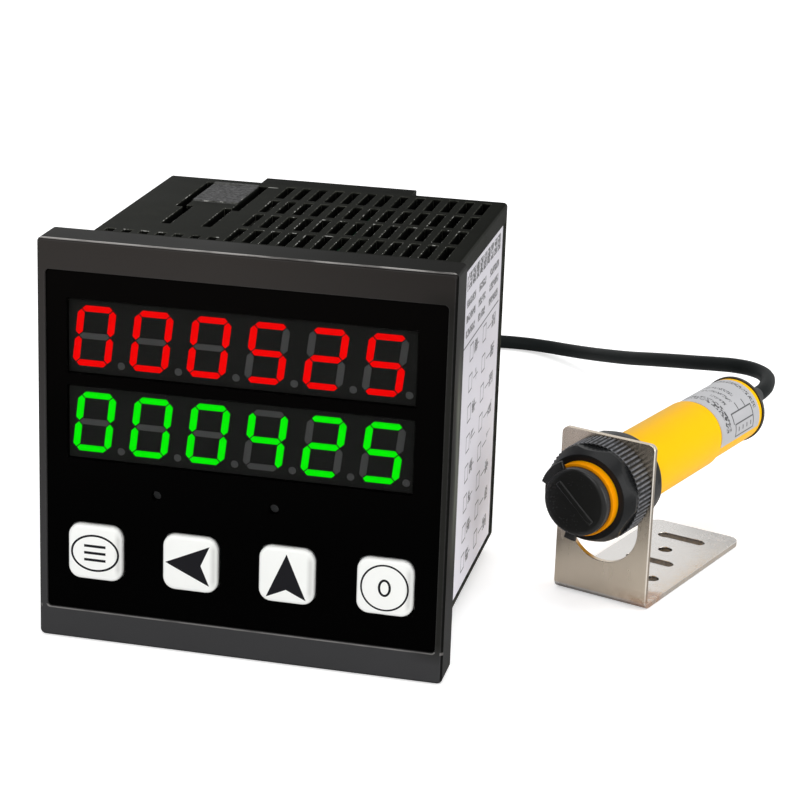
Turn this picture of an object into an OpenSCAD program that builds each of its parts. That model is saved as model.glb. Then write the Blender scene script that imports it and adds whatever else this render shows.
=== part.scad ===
// Infrared counter: a square panel counter with two rows of digits, wired to a round
// infrared sensor that is clamped in an angle bracket. Millimetres, +Z up. The origin is
// the middle of the bezel's flat foot, and the bezel faces -Y.

/* [Bezel] */
// Width and height of the square bezel
bezel_size = 96; // [92:0.5:104]
// Depth of the bezel in front of the panel
bezel_t = 10; // [9:0.5:14]
// Radius of the bezel's four corners
bezel_r = 1.2; // [0.5:0.1:3]
// Bevel round the bezel's front edge
bezel_bevel = 0.4; // [0.2:0.1:0.6]
// Thickness of the bezel's rim behind the window
ledge_t = 1.2; // [1:0.1:2]
// Width of the ledge above and below the window opening
ledge_w = 1.8; // [1:0.1:3]
// Width of the bezel's rim beside the window
side_rim = 2; // [1.5:0.1:4]
// Width of the bezel's rim above and below the window
end_rim = 7.4; // [5.5:0.1:8]

/* [Window] */
// Thickness of the window
window_t = 1; // [0.8:0.1:1.5]
// Depth of the window below the bezel's front
window_recess = 0.75; // [0.4:0.05:1.5]
// Corner radius of the window
window_r = 1; // [0.5:0.1:3]
// Thickness of the black plate behind the window
face_t = 1.2; // [0.8:0.1:1.6]

/* [Case] */
// Step from the bezel's edge to the side of the case
side_step = 4.3; // [3:0.1:5]
// Step from the bezel's edge to the top of the case
end_step = 4; // [3:0.1:5]
// Depth of the case behind the panel seat
case_depth = 75; // [66:1:90]
// Thickness of the case walls
case_wall = 2.2; // [1.6:0.1:2.6]
// Radius of the case's long edges
case_r = 1; // [0.4:0.1:2]
// Width of the hood round the terminals
hood_w = 39; // [38.6:0.1:42]
// Depth of the hood behind the case
hood_depth = 5.5; // [4:0.5:9]
// Distance from the case's right side to the last ventilation slot
vent_right_gap = 4.7; // [4:0.1:8]
// Distance from the case's left side to the first short hole
vent_left_gap = 3.85; // [3.5:0.05:8]
// Width of a ventilation slot
vent_w = 2.2; // [1.6:0.1:2.6]
// Width of the bar between rows of ventilation slots
vent_bar = 2.5; // [2:0.1:4]
// Distance from the panel seat to the first row of slots
vent_start = 15.3; // [14:0.1:20]
// Distance from the last row of slots to the rear of the case
vent_end_gap = 2.6; // [2.4:0.1:5]
// Length of the short holes beside the slots
short_vent_l = 2.7; // [2:0.1:4]

/* [Latch tongue] */
// Distance of the tongue's middle from the case's middle
tongue_x = 24.5; // [23.5:0.1:25.5]
// Width of the tongue
tongue_w = 7.7; // [6:0.1:8.5]
// Width of the cut beside the tongue
tongue_cut = 2.3; // [1.6:0.1:2.4]
// Width of the head at the tongue's end
tongue_head_w = 11.4; // [10:0.1:12]
// Distance from the panel seat to the tongue's root
tongue_start = 26.6; // [22:0.2:30]
// Length of the narrow part of the tongue
tongue_l = 17.4; // [14:0.2:20]
// Distance from the tongue's end to the rear of the case
tongue_end = 4.8; // [4:0.1:8]
// Height of the thumb pad at its rear end
pad_h = 0.5; // [0.5:0.1:2]

/* [Side label] */
// Distance from the side label to the rear of the case
label_end = 4.3; // [4.1:0.1:12]
// Distance from the side label to the top of the case
label_top = 4.8; // [2:0.1:8]
// Distance from the side label to the bottom of the case
label_bottom = 2.2; // [1.5:0.1:8]
// Thickness of the side label
label_t = 0.15; // [0.1:0.05:0.3]
// Distance from the panel seat to the side label
label_start = 22.3; // [20:0.1:24]

/* [Displays] */
// Gap between a display module and the case walls, if it is in the middle
display_side_gap = 1.2; // [1:0.1:3]
// Height of a display module
display_h = 17.5; // [16.6:0.1:19]
// Depth of a display module
display_t = 8; // [7:0.5:9]
// Shift of the displays from the middle
display_x = -0.8; // [-0.9:0.1:0]
// Distance from the top of the opening to the upper display
display_top_gap = 4.6; // [1:0.05:6]
// Distance between the two displays
display_row_gap = 2.9; // [1:0.1:4]
// Shift of the digits to the left in their module
digit_shift = 0.6; // [0.2:0.1:0.6]
// Distance from a digit's right stroke to the next digit's left one
digit_gap = 6; // [5.6:0.05:7]
// Distance from a digit to the top and bottom of its module
digit_margin = 1.65; // [1:0.05:3]
// Thickness of the level strokes
stroke_h = 1.4; // [1:0.1:1.8]
// Thickness of the upright strokes
stroke_v = 1.6; // [1:0.1:1.9]
// Lean of the digits
digit_slant = 6.5; // [0:0.5:8]
// Depth of the lit strokes
stroke_t = 1; // [0.6:0.1:2]
// Diameter of a decimal point
point_d = 1.7; // [1:0.1:1.9]

/* [Lamps] */
// Distance between the two output lamps
lamp_pitch = 27.7; // [24:0.1:30]
// Shift of the lamps from the middle
lamp_x = -5.95; // [-8:0.05:0]
// Height of the lamps above the middle of the strip between display and keys
lamp_rise = 0.8; // [-1:0.1:2]
// Diameter of a lamp where it shows
lamp_d = 2.1; // [1.6:0.1:3]

/* [Keys] */
// Width of a key cap
key_w = 13.1; // [11:0.1:14]
// Height of a key cap
key_h = 13.4; // [11:0.1:14]
// Corner radius of a key cap
key_r = 2.9; // [1.5:0.1:4]
// Gap between the case wall and the outer keys
key_side_gap = 0.75; // [0.4:0.05:4]
// Distance from the bottom of the opening to the keys
key_bottom_gap = 6.1; // [3:0.1:8]
// Height of a key cap above the window
key_proud = 1.2; // [1:0.1:2]
// Travel of a key
key_travel = 0.5; // [0.3:0.1:0.7]
// Gap round a key cap
key_gap = 0.3; // [0.2:0.05:0.5]
// Reach of a key's hidden flange above and below its cap
key_flange_w = 1.1; // [0.8:0.1:1.5]
// Thickness of a key's flange
key_flange_t = 1; // [0.8:0.1:1.2]
// Width of a key switch
switch_w = 12; // [10:0.5:12]
// Height of a key switch on its board
switch_h = 3.4; // [3:0.1:3.8]
// Diameter of a switch plunger
plunger_d = 3.6; // [3:0.1:5]
// Radial clearance of a switch plunger
plunger_fit = 0.05; // [0.03:0.01:0.08]
// Reach of a plunger out of its switch
plunger_out = 1; // [0.8:0.1:1.2]
// Depth of a plunger inside its switch
plunger_in = 1.8; // [1.5:0.1:2]

/* [Boards] */
// Thickness of the circuit boards
board_t = 1.6; // [1:0.1:2]
// Distance of the upright boards from the middle
board_x = 13.6; // [13.4:0.1:14.6]
// Gap between the front board and the upright boards
board_gap = 4; // [3:0.5:6]
// Height of the ribs that hold the upright boards
rail_h = 2.5; // [2:0.1:3]
// Thickness of the ribs that hold the upright boards
rail_t = 1.2; // [0.8:0.1:1.4]
// Gap between the transformer and the case wall
transformer_gap = 3.1; // [1:0.1:6]
// Depth of the transformer
transformer_l = 28; // [24:0.5:30]
// Height of the transformer
transformer_h = 32; // [26:0.5:34]
// Width of the transformer's core beyond its winding
core_step = 3.6; // [2:0.1:6]
// Distance from the boards' front edge to the transformer
transformer_start = 22; // [16:0.5:26]
// Diameter of a filter capacitor
capacitor_d = 10; // [8:0.5:12]
// Length of a filter capacitor
capacitor_l = 16; // [12:0.5:20]
// Distance from the boards' front edge to the capacitors
capacitor_start = 14; // [8:0.5:30]
// Height of an output relay off its board
relay_rise = 15.6; // [12:0.2:18]
// Depth of an output relay
relay_l = 19; // [15:0.2:24]
// Height of an output relay
relay_h = 15.4; // [11:0.2:16]
// Distance from the boards' front edge to the relays
relay_start = 16; // [8:0.5:30]
// Gap between parts on the boards
part_gap = 2; // [1:0.1:3]
// Width of the large chip
chip_w = 10; // [6:0.2:12]
// Height of a chip on its board
chip_t = 1.6; // [1:0.1:2.4]
// Height of the connectors between the boards
connector_h = 40; // [20:1:50]
// Thickness of the connectors between the boards
connector_t = 2.5; // [2:0.1:4]

/* [Terminals] */
// Number of ways in each terminal block
ways = 8; // [6:1:8]
// Strip of the block above and below its ways
way_margin = 1.6; // [0.5:0.1:3]
// Depth of a terminal block
block_depth = 14.6; // [13:0.2:18]
// Depth of a terminal block below the hood's rim
block_sink = 0.8; // [0.4:0.1:1.5]
// Diameter of a terminal screw's head
terminal_head_d = 4.2; // [3.5:0.1:4.6]
// Diameter of a terminal screw's shank
terminal_shank_d = 2.5; // [2:0.1:3]
// Width of a wire entry
entry_w = 3.8; // [3:0.1:3.9]
// Depth of a wire entry
entry_depth = 8; // [7:0.2:10]
// Depth of the clamp at the end of a wire entry
clamp_depth = 3; // [2:0.1:4]

/* [Sensor place] */
// Distance of the sensor to the right of the counter's middle
sensor_x = 75; // [73:0.5:78]
// Distance of the bracket behind the middle of the counter's foot
sensor_y = 55.6; // [53:0.2:58]
// Turn of the sensor about the vertical
sensor_yaw = 19.5; // [17:0.5:22]

/* [Bracket] */
// Width of sheet beside and above the sensor's slot
plate_margin = 3.25; // [2.5:0.05:6]
// Depth of the bracket's base
base_l = 56; // [54:0.5:66]
// Thickness of the bracket's sheet
sheet_t = 1.5; // [1.2:0.1:2]
// Inner radius of the bracket's bend
bend_r = 1; // [0.8:0.1:1.5]
// Corner radius of the upright plate
plate_r = 1.6; // [1:0.1:3]
// Corner radius of the base
base_r = 3; // [2:0.1:5]
// Height of the sensor's axis above the base's underside
axis_z = 30; // [28:0.5:36]
// Travel of the sensor in its upright slot
bracket_travel = 10.6; // [8:0.2:12]
// Clearance round the sensor in its slot
bracket_fit = 0.25; // [0.15:0.05:0.4]
// Width of the fixing slots and holes in the base
fixing_d = 3.6; // [3:0.1:4.5]
// Length of a fixing slot, end to end
fixing_slot_l = 13; // [9:0.5:16]
// Distance between the two round holes near the bend
fixing_pair = 12; // [10:0.5:14]
// Distance from the plate's front to the pair of holes
pair_y = 17; // [14:0.5:19]
// Distance from the plate's front to the first slot
first_slot_y = 28; // [26:0.5:30]
// Distance from the plate's front to the single hole
single_hole_y = 37; // [35:0.5:39]
// Distance from the plate's front to the second slot
second_slot_y = 46.5; // [44:0.5:48]

/* [Sensor] */
// Diameter of the sensor's barrel
barrel_d = 18; // [17:0.1:18.6]
// Reach of the barrel in front of its front nut
rim_proud = 2.3; // [1:0.1:5]
// Reach of the barrel behind the plate's front
barrel_back = 73.2; // [72:0.2:76]
// Wall of the barrel
barrel_wall = 1.5; // [1.2:0.1:2]
// Depth of the step down to the rear part
rear_step = 0.5; // [0.2:0.05:0.8]
// Distance from the plate's front to the slimmer rear part
rear_part_start = 47.6; // [44:0.2:50]
// Width of the barrel's rim round the dark filter
rim_w = 0.9; // [0.6:0.05:1.2]
// Depth of the dark filter's seat in the barrel
filter_seat = 1.6; // [1.2:0.1:2]
// Height of the filter above the barrel's front
filter_proud = 1.9; // [0.4:0.1:2.4]
// Wall of the nuts round the barrel
nut_wall = 3.4; // [3:0.1:6]
// Wall of the nuts at their flats
flat_wall = 2.4; // [2:0.1:3.5]
// Axial length of the front nut
front_nut_l = 11; // [10:0.2:12]
// Axial length of the rear nut
rear_nut_l = 7.5; // [6:0.2:10]
// Thickness of the rear nut's flange
nut_flange_t = 2; // [1.5:0.1:2.6]
// Length of the front nut's ribbed band
rib_l = 6.6; // [3:0.1:7.2]
// Number of ribs round the front nut
rib_count = 66; // [48:2:80]
// Depth of the ribs
rib_depth = 0.45; // [0.3:0.05:0.6]
// Clearance of the nuts and rings on the barrel
nut_fit = 0.05; // [0.03:0.01:0.1]
// Thickness of the end cap's rim
cap_t = 1; // [0.8:0.1:1.6]
// Step from the barrel down to the end cap
cap_step = 0.1; // [0.05:0.05:0.4]
// Length of the strain relief
relief_l = 13.8; // [10:0.2:15]
// Diameter of the strain relief at the cap
relief_d = 7.8; // [6:0.1:9]
// Width of the bare band behind the sensor's label
label_band = 2; // [1:0.1:6]
// Angle that the sensor's label covers
sensor_label_angle = 250; // [200:5:300]

/* [Cable] */
// Diameter of the sensor cable
cable_d = 4.2; // [3.8:0.1:4.4]
// Diameter of a cable core
core_d = 1.3; // [1:0.1:1.4]
// Mid-turn radius of the outer turns of the coil
coil_outer_turn = 25.1; // [24.6:0.1:25.4]
// Turns beside each other in the coil
coil_columns = 2; // [1:1:3]
// Turns above each other in the coil
coil_layers = 3; // [2:1:3]
// Thickness of the cable ties
tie_t = 1.2; // [0.8:0.1:1.4]
// Width of the cable ties
tie_w = 3.6; // [2.5:0.1:5]

/* [Hidden] */
$fn = 48;

// Small amount by which a cut passes the face that it opens
over = 0.5;
// Gap between pieces that are dropped into place
loose = 0.2;
// Gap between pieces that fit closely
close = 0.1;

// Planes of the counter, from its front to its back
front_y = -bezel_t / 2;
seat_y = bezel_t / 2;
mid_z = bezel_size / 2;
window_y = front_y + window_recess;
face_y = window_y + window_t;
face_back_y = face_y + face_t;
case_front_y = face_y + ledge_t;
case_back_y = seat_y + case_depth;
display_y = face_y + close;
front_board_y = display_y + display_t;
upright_y = front_board_y + board_t + board_gap;
block_back_y = case_back_y + hood_depth - block_sink;
block_front_y = block_back_y - block_depth;

// Case and boards
window_w = bezel_size - 2 * side_rim;
window_h = bezel_size - 2 * end_rim;
case_w = bezel_size - 2 * side_step;
case_h = bezel_size - 2 * end_step;
case_in_w = case_w - 2 * case_wall;
case_in_h = case_h - 2 * case_wall;
case_top_z = mid_z + case_h / 2;
opening_w = case_w + 2 * loose;
opening_h = window_h - 2 * ledge_w;
label_h = case_h - label_top - label_bottom;
label_l = case_depth - label_start - label_end;
label_margin = 3.8;
snap_w = 10.4;
snap_t = 1.4;
snap_x = -6;
snap_start = 7.7;
snap_l = 5.4;
shoulder_gap = 1.7;
tongue_end_gap = 0.8;
front_board_w = case_in_w - 2 * loose;
front_board_h = case_in_h - 2 * (snap_t + 3 * loose);
upright_h = case_in_h - 2 * loose;
upright_l = block_front_y - upright_y;
vent_columns = 13;
vent_rows = 4;
short_vents = 7;
last_vent_x = case_w / 2 - vent_right_gap;
vent_pitch = (case_w - vent_left_gap - vent_right_gap) / (vent_columns + short_vents - 1);
vent_row_pitch = (case_depth - vent_start - vent_end_gap + vent_bar) / vent_rows;
vent_l = vent_row_pitch - vent_bar;
tongue_head_l = case_depth - tongue_end - tongue_start - tongue_l - shoulder_gap;
hood_wall = 1.7;
block_w = (hood_w - 2 * hood_wall) / 2 - close;
block_h = case_in_h - 2 * loose;
way_pitch = (block_h - 2 * way_margin) / ways;
screw_x = 3.4;
entry_x = 4.2;
well_depth = 4;
terminal_head_t = 2;
terminal_shank_l = 4;

// Keys
key_pitch = (case_in_w - 2 * key_side_gap - key_w) / 3;
key_places = [for (i = [0:3]) (i - 1.5) * key_pitch];
key_z = mid_z - opening_h / 2 + key_bottom_gap + key_h / 2;
key_stop = 0.05;
key_back_y = face_back_y + key_stop;
plunger_front_y = front_board_y - switch_h - plunger_out;
key_stem_d = plunger_d + 1.4;
plunger_back_y = front_board_y - switch_h + plunger_in;

// Digits
display_w = case_in_w - 2 * display_side_gap;
upper_display_z = opening_h / 2 - display_top_gap - display_h / 2;
lower_display_z = upper_display_z - display_h - display_row_gap;
lamp_z = (mid_z + lower_display_z - display_h / 2 + key_z + key_h / 2) / 2 + lamp_rise;
digit_pitch = display_w / 6;
digit_w = digit_pitch - digit_gap;
digit_stroke_gap = (display_h - stroke_h) / 2 - digit_margin;
upper_digits = [0, 0, 0, 5, 2, 5];
lower_digits = [0, 0, 0, 4, 2, 5];
digit_codes = ["abcdef", "bc", "abged", "abgcd", "fgbc", "afgcd", "afgedc", "abc", "abcdefg", "abcdfg"];
stroke_names = "abcdefg";
stroke_tip_gap = 0.2;
point_x = digit_w / 2 + stroke_v / 2 + 1 + point_d / 2;
pocket_gap = 0.04;

// Sensor
axis_front = -front_nut_l - rim_proud;
barrel_bore = barrel_d - 2 * barrel_wall;
barrel_rear_d = barrel_d - 2 * rear_step;
filter_d = barrel_d - 2 * rim_w;
cap_d = barrel_d - 2 * cap_step;
nut_r = barrel_d / 2 + nut_wall;
nut_flats = barrel_d + 2 * flat_wall;
nut_chamfer = 1.6;
slot_d = barrel_d + 2 * bracket_fit;
bracket_w = slot_d + 2 * plate_margin;
bracket_h = axis_z + slot_d / 2 + plate_margin;
label_gap = 0.4;
step_l = 0.8;
label_skin = 0.15;
label_edge = 15;
sensor_label_l = barrel_back - rear_part_start - label_gap - label_band;
relief_end_s = barrel_back + cap_t + relief_l;
cap_plug_l = 6;
carrier_s = 10.8;

// Cable
coil_center = [1, 150];
coil_base = tie_t;
coil_inner_turn = coil_outer_turn - cable_d * (coil_columns - 1);
coil_in = coil_inner_turn - cable_d / 2;
coil_out = coil_outer_turn + cable_d / 2;
coil_h = coil_layers * cable_d;
cable_sides = 8;
// Route of the cable from the strain relief to the coil, in round numbers
cable_route = [
    [104.4, 138.6, 30], [106.1, 144.5, 30], [106.6, 151.5, 29.9], [105.6, 159, 29.6],
    [101.8, 165.6, 29.1], [96.6, 170.6, 28.2], [91, 176.6, 26.4], [84.4, 184, 24],
    [77, 193.4, 21], [69, 204.2, 17.5], [61, 216.2, 13.6], [53, 228.2, 10], [45, 240.4, 6.5],
    [36.8, 250, 4], [29, 256, 2.7], [20.5, 258.6, 2.2], [12, 258, 2.2], [3, 255.6, 2.2],
    [-6, 251.5, 2.2], [-14, 245.5, 2.2], [-20, 237, 2.2], [-23.4, 227, 2.2], [-24.6, 216, 2.2],
    [-24.6, 204, 2.2], [-24.4, 192, 2.2], [-24.2, 180, 2.4], [-24.1, 167, 3], [-24.1, 154, 3.3]];
// Route of the cable from the coil up to the terminals, in round numbers
lead_route = [
    [-24.1, 146, 11.7], [-24.1, 139, 12.2], [-23.8, 132.5, 14.4], [-23.2, 127, 18.4],
    [-22.2, 122.6, 23.8], [-21, 119.2, 30], [-19.6, 116, 36.4], [-18, 112.2, 42.2],
    [-16.2, 107.6, 47], [-14.4, 102.6, 50.6], [-13.5, 99, 51.8], [-13.4, 96, 52]];
core_end_y = block_back_y - entry_depth + clamp_depth;
core_ring = core_d * 0.64;
core_gap = 0.6;
core_lead = 1.8;

// A rectangle with round corners, centred
module round_rect(w, h, r) {
    square([w - 2 * r, h], center = true);
    square([w, h - 2 * r], center = true);
    for (x = [-1, 1], z = [-1, 1]) translate([x * (w / 2 - r), z * (h / 2 - r)]) circle(r);
}

// Stands an outline up in the XZ plane and gives it a thickness towards +Y
module upright(y, t) translate([0, y + t, 0]) rotate([90, 0, 0]) linear_extrude(t) children();

// A box by its low and high corners
module block(low, high) translate(low) cube(high - low);

// A cylinder along +Y from one plane to another
module rod(x, z, d, y_low, y_high) {
    translate([x, y_low, z]) rotate([-90, 0, 0]) cylinder(d = d, h = y_high - y_low);
}

// Bezel
module bezel_snap(side) {
    top = side * (case_in_h / 2 - loose);
    low = side * (case_in_h / 2 - loose - snap_t);
    hook = side * (case_h / 2 - 2 * loose);
    z_low = min(top, low);
    z_high = max(top, low);
    translate([side * snap_x, 0, mid_z]) {
        block([-snap_w / 2, case_front_y - over, z_low],
              [snap_w / 2, seat_y + snap_start + snap_l - loose, z_high]);
        block([-snap_w / 2, seat_y + snap_start + loose, min(hook, low)],
              [snap_w / 2, seat_y + snap_start + snap_l - loose, max(hook, low)]);
    }
}

module front_bezel() color([0.13, 0.12, 0.12]) {
    difference() {
        translate([0, 0, mid_z]) {
            upright(front_y + bezel_bevel, bezel_t - bezel_bevel) {
                round_rect(bezel_size, bezel_size, bezel_r);
            }
            upright(front_y, bezel_bevel + over) {
                round_rect(bezel_size - 2 * bezel_bevel, bezel_size - 2 * bezel_bevel, bezel_r);
            }
        }
        translate([0, 0, mid_z]) {
            upright(front_y - over, face_y - front_y + over) {
                round_rect(window_w + 2 * close, window_h + 2 * close, window_r);
            }
            upright(face_y - over, ledge_t + 2 * over) square([opening_w, opening_h], center = true);
            upright(case_front_y, bezel_t) {
                round_rect(case_w + 2 * loose, case_h + 2 * loose, case_r + loose);
            }
        }
    }
    for (side = [-1, 1]) bezel_snap(side);
}

// Window and the plate behind it
module key_holes(gap) {
    for (x = key_places) translate([x, key_z - mid_z]) {
        round_rect(key_w + 2 * gap, key_h + 2 * gap, key_r + gap);
    }
}

module front_window() color([0.08, 0.08, 0.09, 0.5]) translate([0, 0, mid_z]) {
    upright(window_y, window_t) difference() {
        round_rect(window_w, window_h, window_r - close / 2);
        key_holes(key_gap);
    }
}

module face_plate() color([0.02, 0.02, 0.02]) translate([0, 0, mid_z]) {
    upright(face_y, face_t) difference() {
        square([opening_w - 2 * loose, opening_h - 2 * loose], center = true);
        key_holes(key_gap);
        for (z = [upper_display_z, lower_display_z]) translate([display_x, z]) {
            square([display_w + 2 * loose, display_h + 2 * loose], center = true);
        }
        for (i = [-1, 1]) translate([lamp_x + i * lamp_pitch / 2, lamp_z - mid_z]) {
            circle(d = lamp_d + 2 * close);
        }
    }
}

// Strokes of a digit
function stroke_level(l, s) = [
    [-l / 2, 0], [-l / 2 + s / 2, s / 2], [l / 2 - s / 2, s / 2],
    [l / 2, 0], [l / 2 - s / 2, -s / 2], [-l / 2 + s / 2, -s / 2]];
function stroke_upright(l, s) = [for (p = stroke_level(l, s)) [p[1], p[0]]];
function lean(points) = [for (p = points) [p[0] + p[1] * tan(digit_slant), p[1]]];
function moved(points, by) = [for (p = points) p + by];
function stroke_at(k, grow) =
    let (
        wide = digit_w - 2 * stroke_tip_gap + grow,
        tall = digit_stroke_gap - 2 * stroke_tip_gap + grow,
        x = digit_w / 2,
        z = digit_stroke_gap)
    k == 0 ? moved(stroke_level(wide, stroke_h + grow), [0, z]) :
    k == 1 ? moved(stroke_upright(tall, stroke_v + grow), [x, z / 2]) :
    k == 2 ? moved(stroke_upright(tall, stroke_v + grow), [x, -z / 2]) :
    k == 3 ? moved(stroke_level(wide, stroke_h + grow), [0, -z]) :
    k == 4 ? moved(stroke_upright(tall, stroke_v + grow), [-x, -z / 2]) :
    k == 5 ? moved(stroke_upright(tall, stroke_v + grow), [-x, z / 2]) :
    stroke_level(wide, stroke_h + grow);
function is_lit(digit, k) = len(search(stroke_names[k], digit_codes[digit])) > 0;
function digit_x(i) = display_x - digit_shift + (i - 2.5) * digit_pitch;

module strokes(digits, z, lit, grow) translate([0, z]) for (i = [0:5], k = [0:6]) {
    if (is_lit(digits[i], k) == lit) {
        translate([digit_x(i), 0]) polygon(lean(stroke_at(k, grow)));
    }
}

module points(z, grow) translate([0, z]) for (i = [0:5]) {
    translate([min(digit_x(i) + point_x, display_x + display_w / 2 - point_d), -digit_stroke_gap]) {
        circle(d = point_d + grow, $fn = 24);
    }
}

module display(digits, z) translate([0, 0, mid_z]) difference() {
    block([display_x - display_w / 2, display_y, z - display_h / 2],
          [display_x + display_w / 2, display_y + display_t, z + display_h / 2]);
    upright(display_y - over, stroke_t + over) {
        strokes(digits, z, true, 2 * pocket_gap);
        strokes(digits, z, false, 2 * pocket_gap);
        points(z, 2 * pocket_gap);
    }
}

module upper_display() color([0.12, 0.12, 0.12]) display(upper_digits, upper_display_z);
module lower_display() color([0.12, 0.12, 0.12]) display(lower_digits, lower_display_z);

module red_segments() color([0.98, 0.02, 0.02]) translate([0, 0, mid_z]) {
    upright(display_y, stroke_t) strokes(upper_digits, upper_display_z, true, 0);
}

module green_segments() color([0.02, 0.98, 0.02]) translate([0, 0, mid_z]) {
    upright(display_y, stroke_t) strokes(lower_digits, lower_display_z, true, 0);
}

module dark_segments() color([0.25, 0.25, 0.24]) translate([0, 0, mid_z]) {
    upright(display_y, stroke_t) {
        strokes(upper_digits, upper_display_z, false, 0);
        points(upper_display_z, 0);
        strokes(lower_digits, lower_display_z, false, 0);
        points(lower_display_z, 0);
    }
}

module indicator_lamps() color([0.22, 0.22, 0.22]) for (i = [-1, 1]) {
    x = lamp_x + i * lamp_pitch / 2;
    rod(x, lamp_z, lamp_d, display_y, face_back_y + over);
    rod(x, lamp_z, lamp_d + 1, face_back_y + close, front_board_y);
}

module front_board() color([0.10, 0.35, 0.20]) translate([0, 0, mid_z]) {
    block([-front_board_w / 2, front_board_y, -front_board_h / 2],
          [front_board_w / 2, front_board_y + board_t, front_board_h / 2]);
}

// Keys and their switches
module key_cap_outline(inset) {
    round_rect(key_w - 2 * inset, key_h - 2 * inset, key_r - inset);
}

module key(i) color([0.96, 0.96, 0.95]) translate([key_places[i], 0, key_z]) {
    top_y = window_y - key_proud;
    hull() {
        upright(top_y, 0.01) key_cap_outline(0.9);
        upright(top_y + 0.15, 0.01) key_cap_outline(0.4);
        upright(top_y + 0.45, key_back_y - top_y - 0.45 + key_flange_t / 2) key_cap_outline(0);
    }
    upright(key_back_y, key_flange_t) {
        round_rect(key_w, key_h + 2 * key_flange_w, key_r);
    }
    rod(0, 0, key_stem_d, key_back_y + key_flange_t / 2, plunger_front_y);
}

module plunger(i) color([0.15, 0.15, 0.16]) {
    rod(key_places[i], key_z, plunger_d, plunger_front_y, plunger_back_y);
}

module set_key() key(0);
module shift_key() key(1);
module up_key() key(2);
module reset_key() key(3);
module set_plunger() plunger(0);
module shift_plunger() plunger(1);
module up_plunger() plunger(2);
module reset_plunger() plunger(3);

module key_switches() color([0.2, 0.2, 0.22]) for (x = key_places) difference() {
    block([x - switch_w / 2, front_board_y - switch_h, key_z - switch_w / 2],
          [x + switch_w / 2, front_board_y, key_z + switch_w / 2]);
    rod(x, key_z, plunger_d + 2 * plunger_fit, front_board_y - switch_h - over,
        plunger_back_y + key_travel + loose);
}

// Case
module wall_cuts() {
    // Slots over the electronics, and the short holes that carry the row on
    for (c = [0:vent_columns - 1], r = [0:vent_rows - 1]) {
        translate([last_vent_x - c * vent_pitch - vent_w / 2, vent_start + r * vent_row_pitch]) {
            square([vent_w, vent_l]);
        }
    }
    for (c = [0:short_vents - 1]) {
        translate([last_vent_x - (vent_columns + c) * vent_pitch - vent_w / 2, vent_start]) {
            square([vent_w, short_vent_l]);
        }
    }
    // Window for the bezel's snap
    translate([snap_x - snap_w / 2 - loose, snap_start]) square([snap_w + 2 * loose, snap_l]);
    // Cut round the latch tongue, open at its rear end
    translate([-tongue_x, tongue_start]) difference() {
        union() {
            translate([-tongue_w / 2 - tongue_cut, 0]) {
                square([tongue_w + 2 * tongue_cut, tongue_l + over]);
            }
            translate([-tongue_head_w / 2 - tongue_cut, tongue_l]) {
                square([tongue_head_w + 2 * tongue_cut, shoulder_gap + tongue_head_l + tongue_end_gap]);
            }
        }
        translate([-tongue_w / 2, -over]) square([tongue_w, tongue_l + shoulder_gap + 2 * over]);
        translate([-tongue_head_w / 2, tongue_l + shoulder_gap]) square([tongue_head_w, tongue_head_l]);
    }
}

// Sloping thumb pad on the latch tongue, standing on the wall's outside
module thumb_pad() {
    pad_l = tongue_head_l - 5;
    ridge_l = 1.6;
    low = 0.3;
    translate([-tongue_x, seat_y + tongue_start + tongue_l + shoulder_gap + tongue_head_l - pad_l, 0]) {
        translate([-tongue_head_w / 2, 0, 0]) rotate([90, 0, 90]) linear_extrude(tongue_head_w) {
            polygon([[0, -low], [0, low], [pad_l - ridge_l, pad_h - 0.2], [pad_l - ridge_l, pad_h],
                     [pad_l, pad_h], [pad_l, -low]]);
        }
    }
}

module case_side_features() {
    // One long wall, drawn for the top; the bottom is the same half a turn round
    translate([0, 0, case_h / 2]) thumb_pad();
    for (x = [-board_x, board_x]) for (side = [-1, 1]) {
        inner = side * (board_t / 2 + loose);
        outer = side * (board_t / 2 + loose + rail_t);
        block([x + min(inner, outer), upright_y, case_in_h / 2 - rail_h],
              [x + max(inner, outer), block_front_y - loose, case_in_h / 2 + over]);
    }
}

module rear_case() color([0.17, 0.18, 0.16]) translate([0, 0, mid_z]) {
    difference() {
        union() {
            upright(case_front_y, case_back_y - case_front_y) round_rect(case_w, case_h, case_r);
            upright(case_back_y - over, hood_depth + over) square([hood_w, case_h], center = true);
        }
        upright(case_front_y - over, case_back_y - case_wall - case_front_y + over) {
            square([case_in_w, case_in_h], center = true);
        }
        upright(case_back_y - 2 * case_wall, 2 * case_wall + hood_depth + over) {
            square([hood_w - 2 * hood_wall, case_in_h], center = true);
        }
        for (turn = [0, 180]) rotate([0, turn, 0]) {
            translate([0, seat_y, case_in_h / 2 - over]) {
                linear_extrude(case_wall + 2 * over) wall_cuts();
            }
        }
        label_recess();
    }
    for (turn = [0, 180]) rotate([0, turn, 0]) case_side_features();
}

// Shallow recess that takes the side label, longer than the label towards the rear
module label_recess() {
    block([case_w / 2 - 2 * label_t, seat_y + label_start - loose, -case_h / 2 + label_bottom / 2],
          [case_w / 2 + over, seat_y + label_start + label_l + label_margin, case_h / 2 - label_top + loose]);
}

module side_label() color([0.88, 0.88, 0.89]) translate([0, 0, mid_z]) {
    block([case_w / 2 - 2 * label_t, seat_y + label_start, -case_h / 2 + label_bottom],
          [case_w / 2 - label_t, seat_y + label_start + label_l, case_h / 2 - label_top]);
}

// Electronics
module upright_board(x) color([0.10, 0.35, 0.20]) translate([x, 0, mid_z]) {
    block([-board_t / 2, upright_y, -upright_h / 2], [board_t / 2, block_front_y, upright_h / 2]);
}
module power_board() upright_board(-board_x);
module logic_board() upright_board(board_x);

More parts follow.
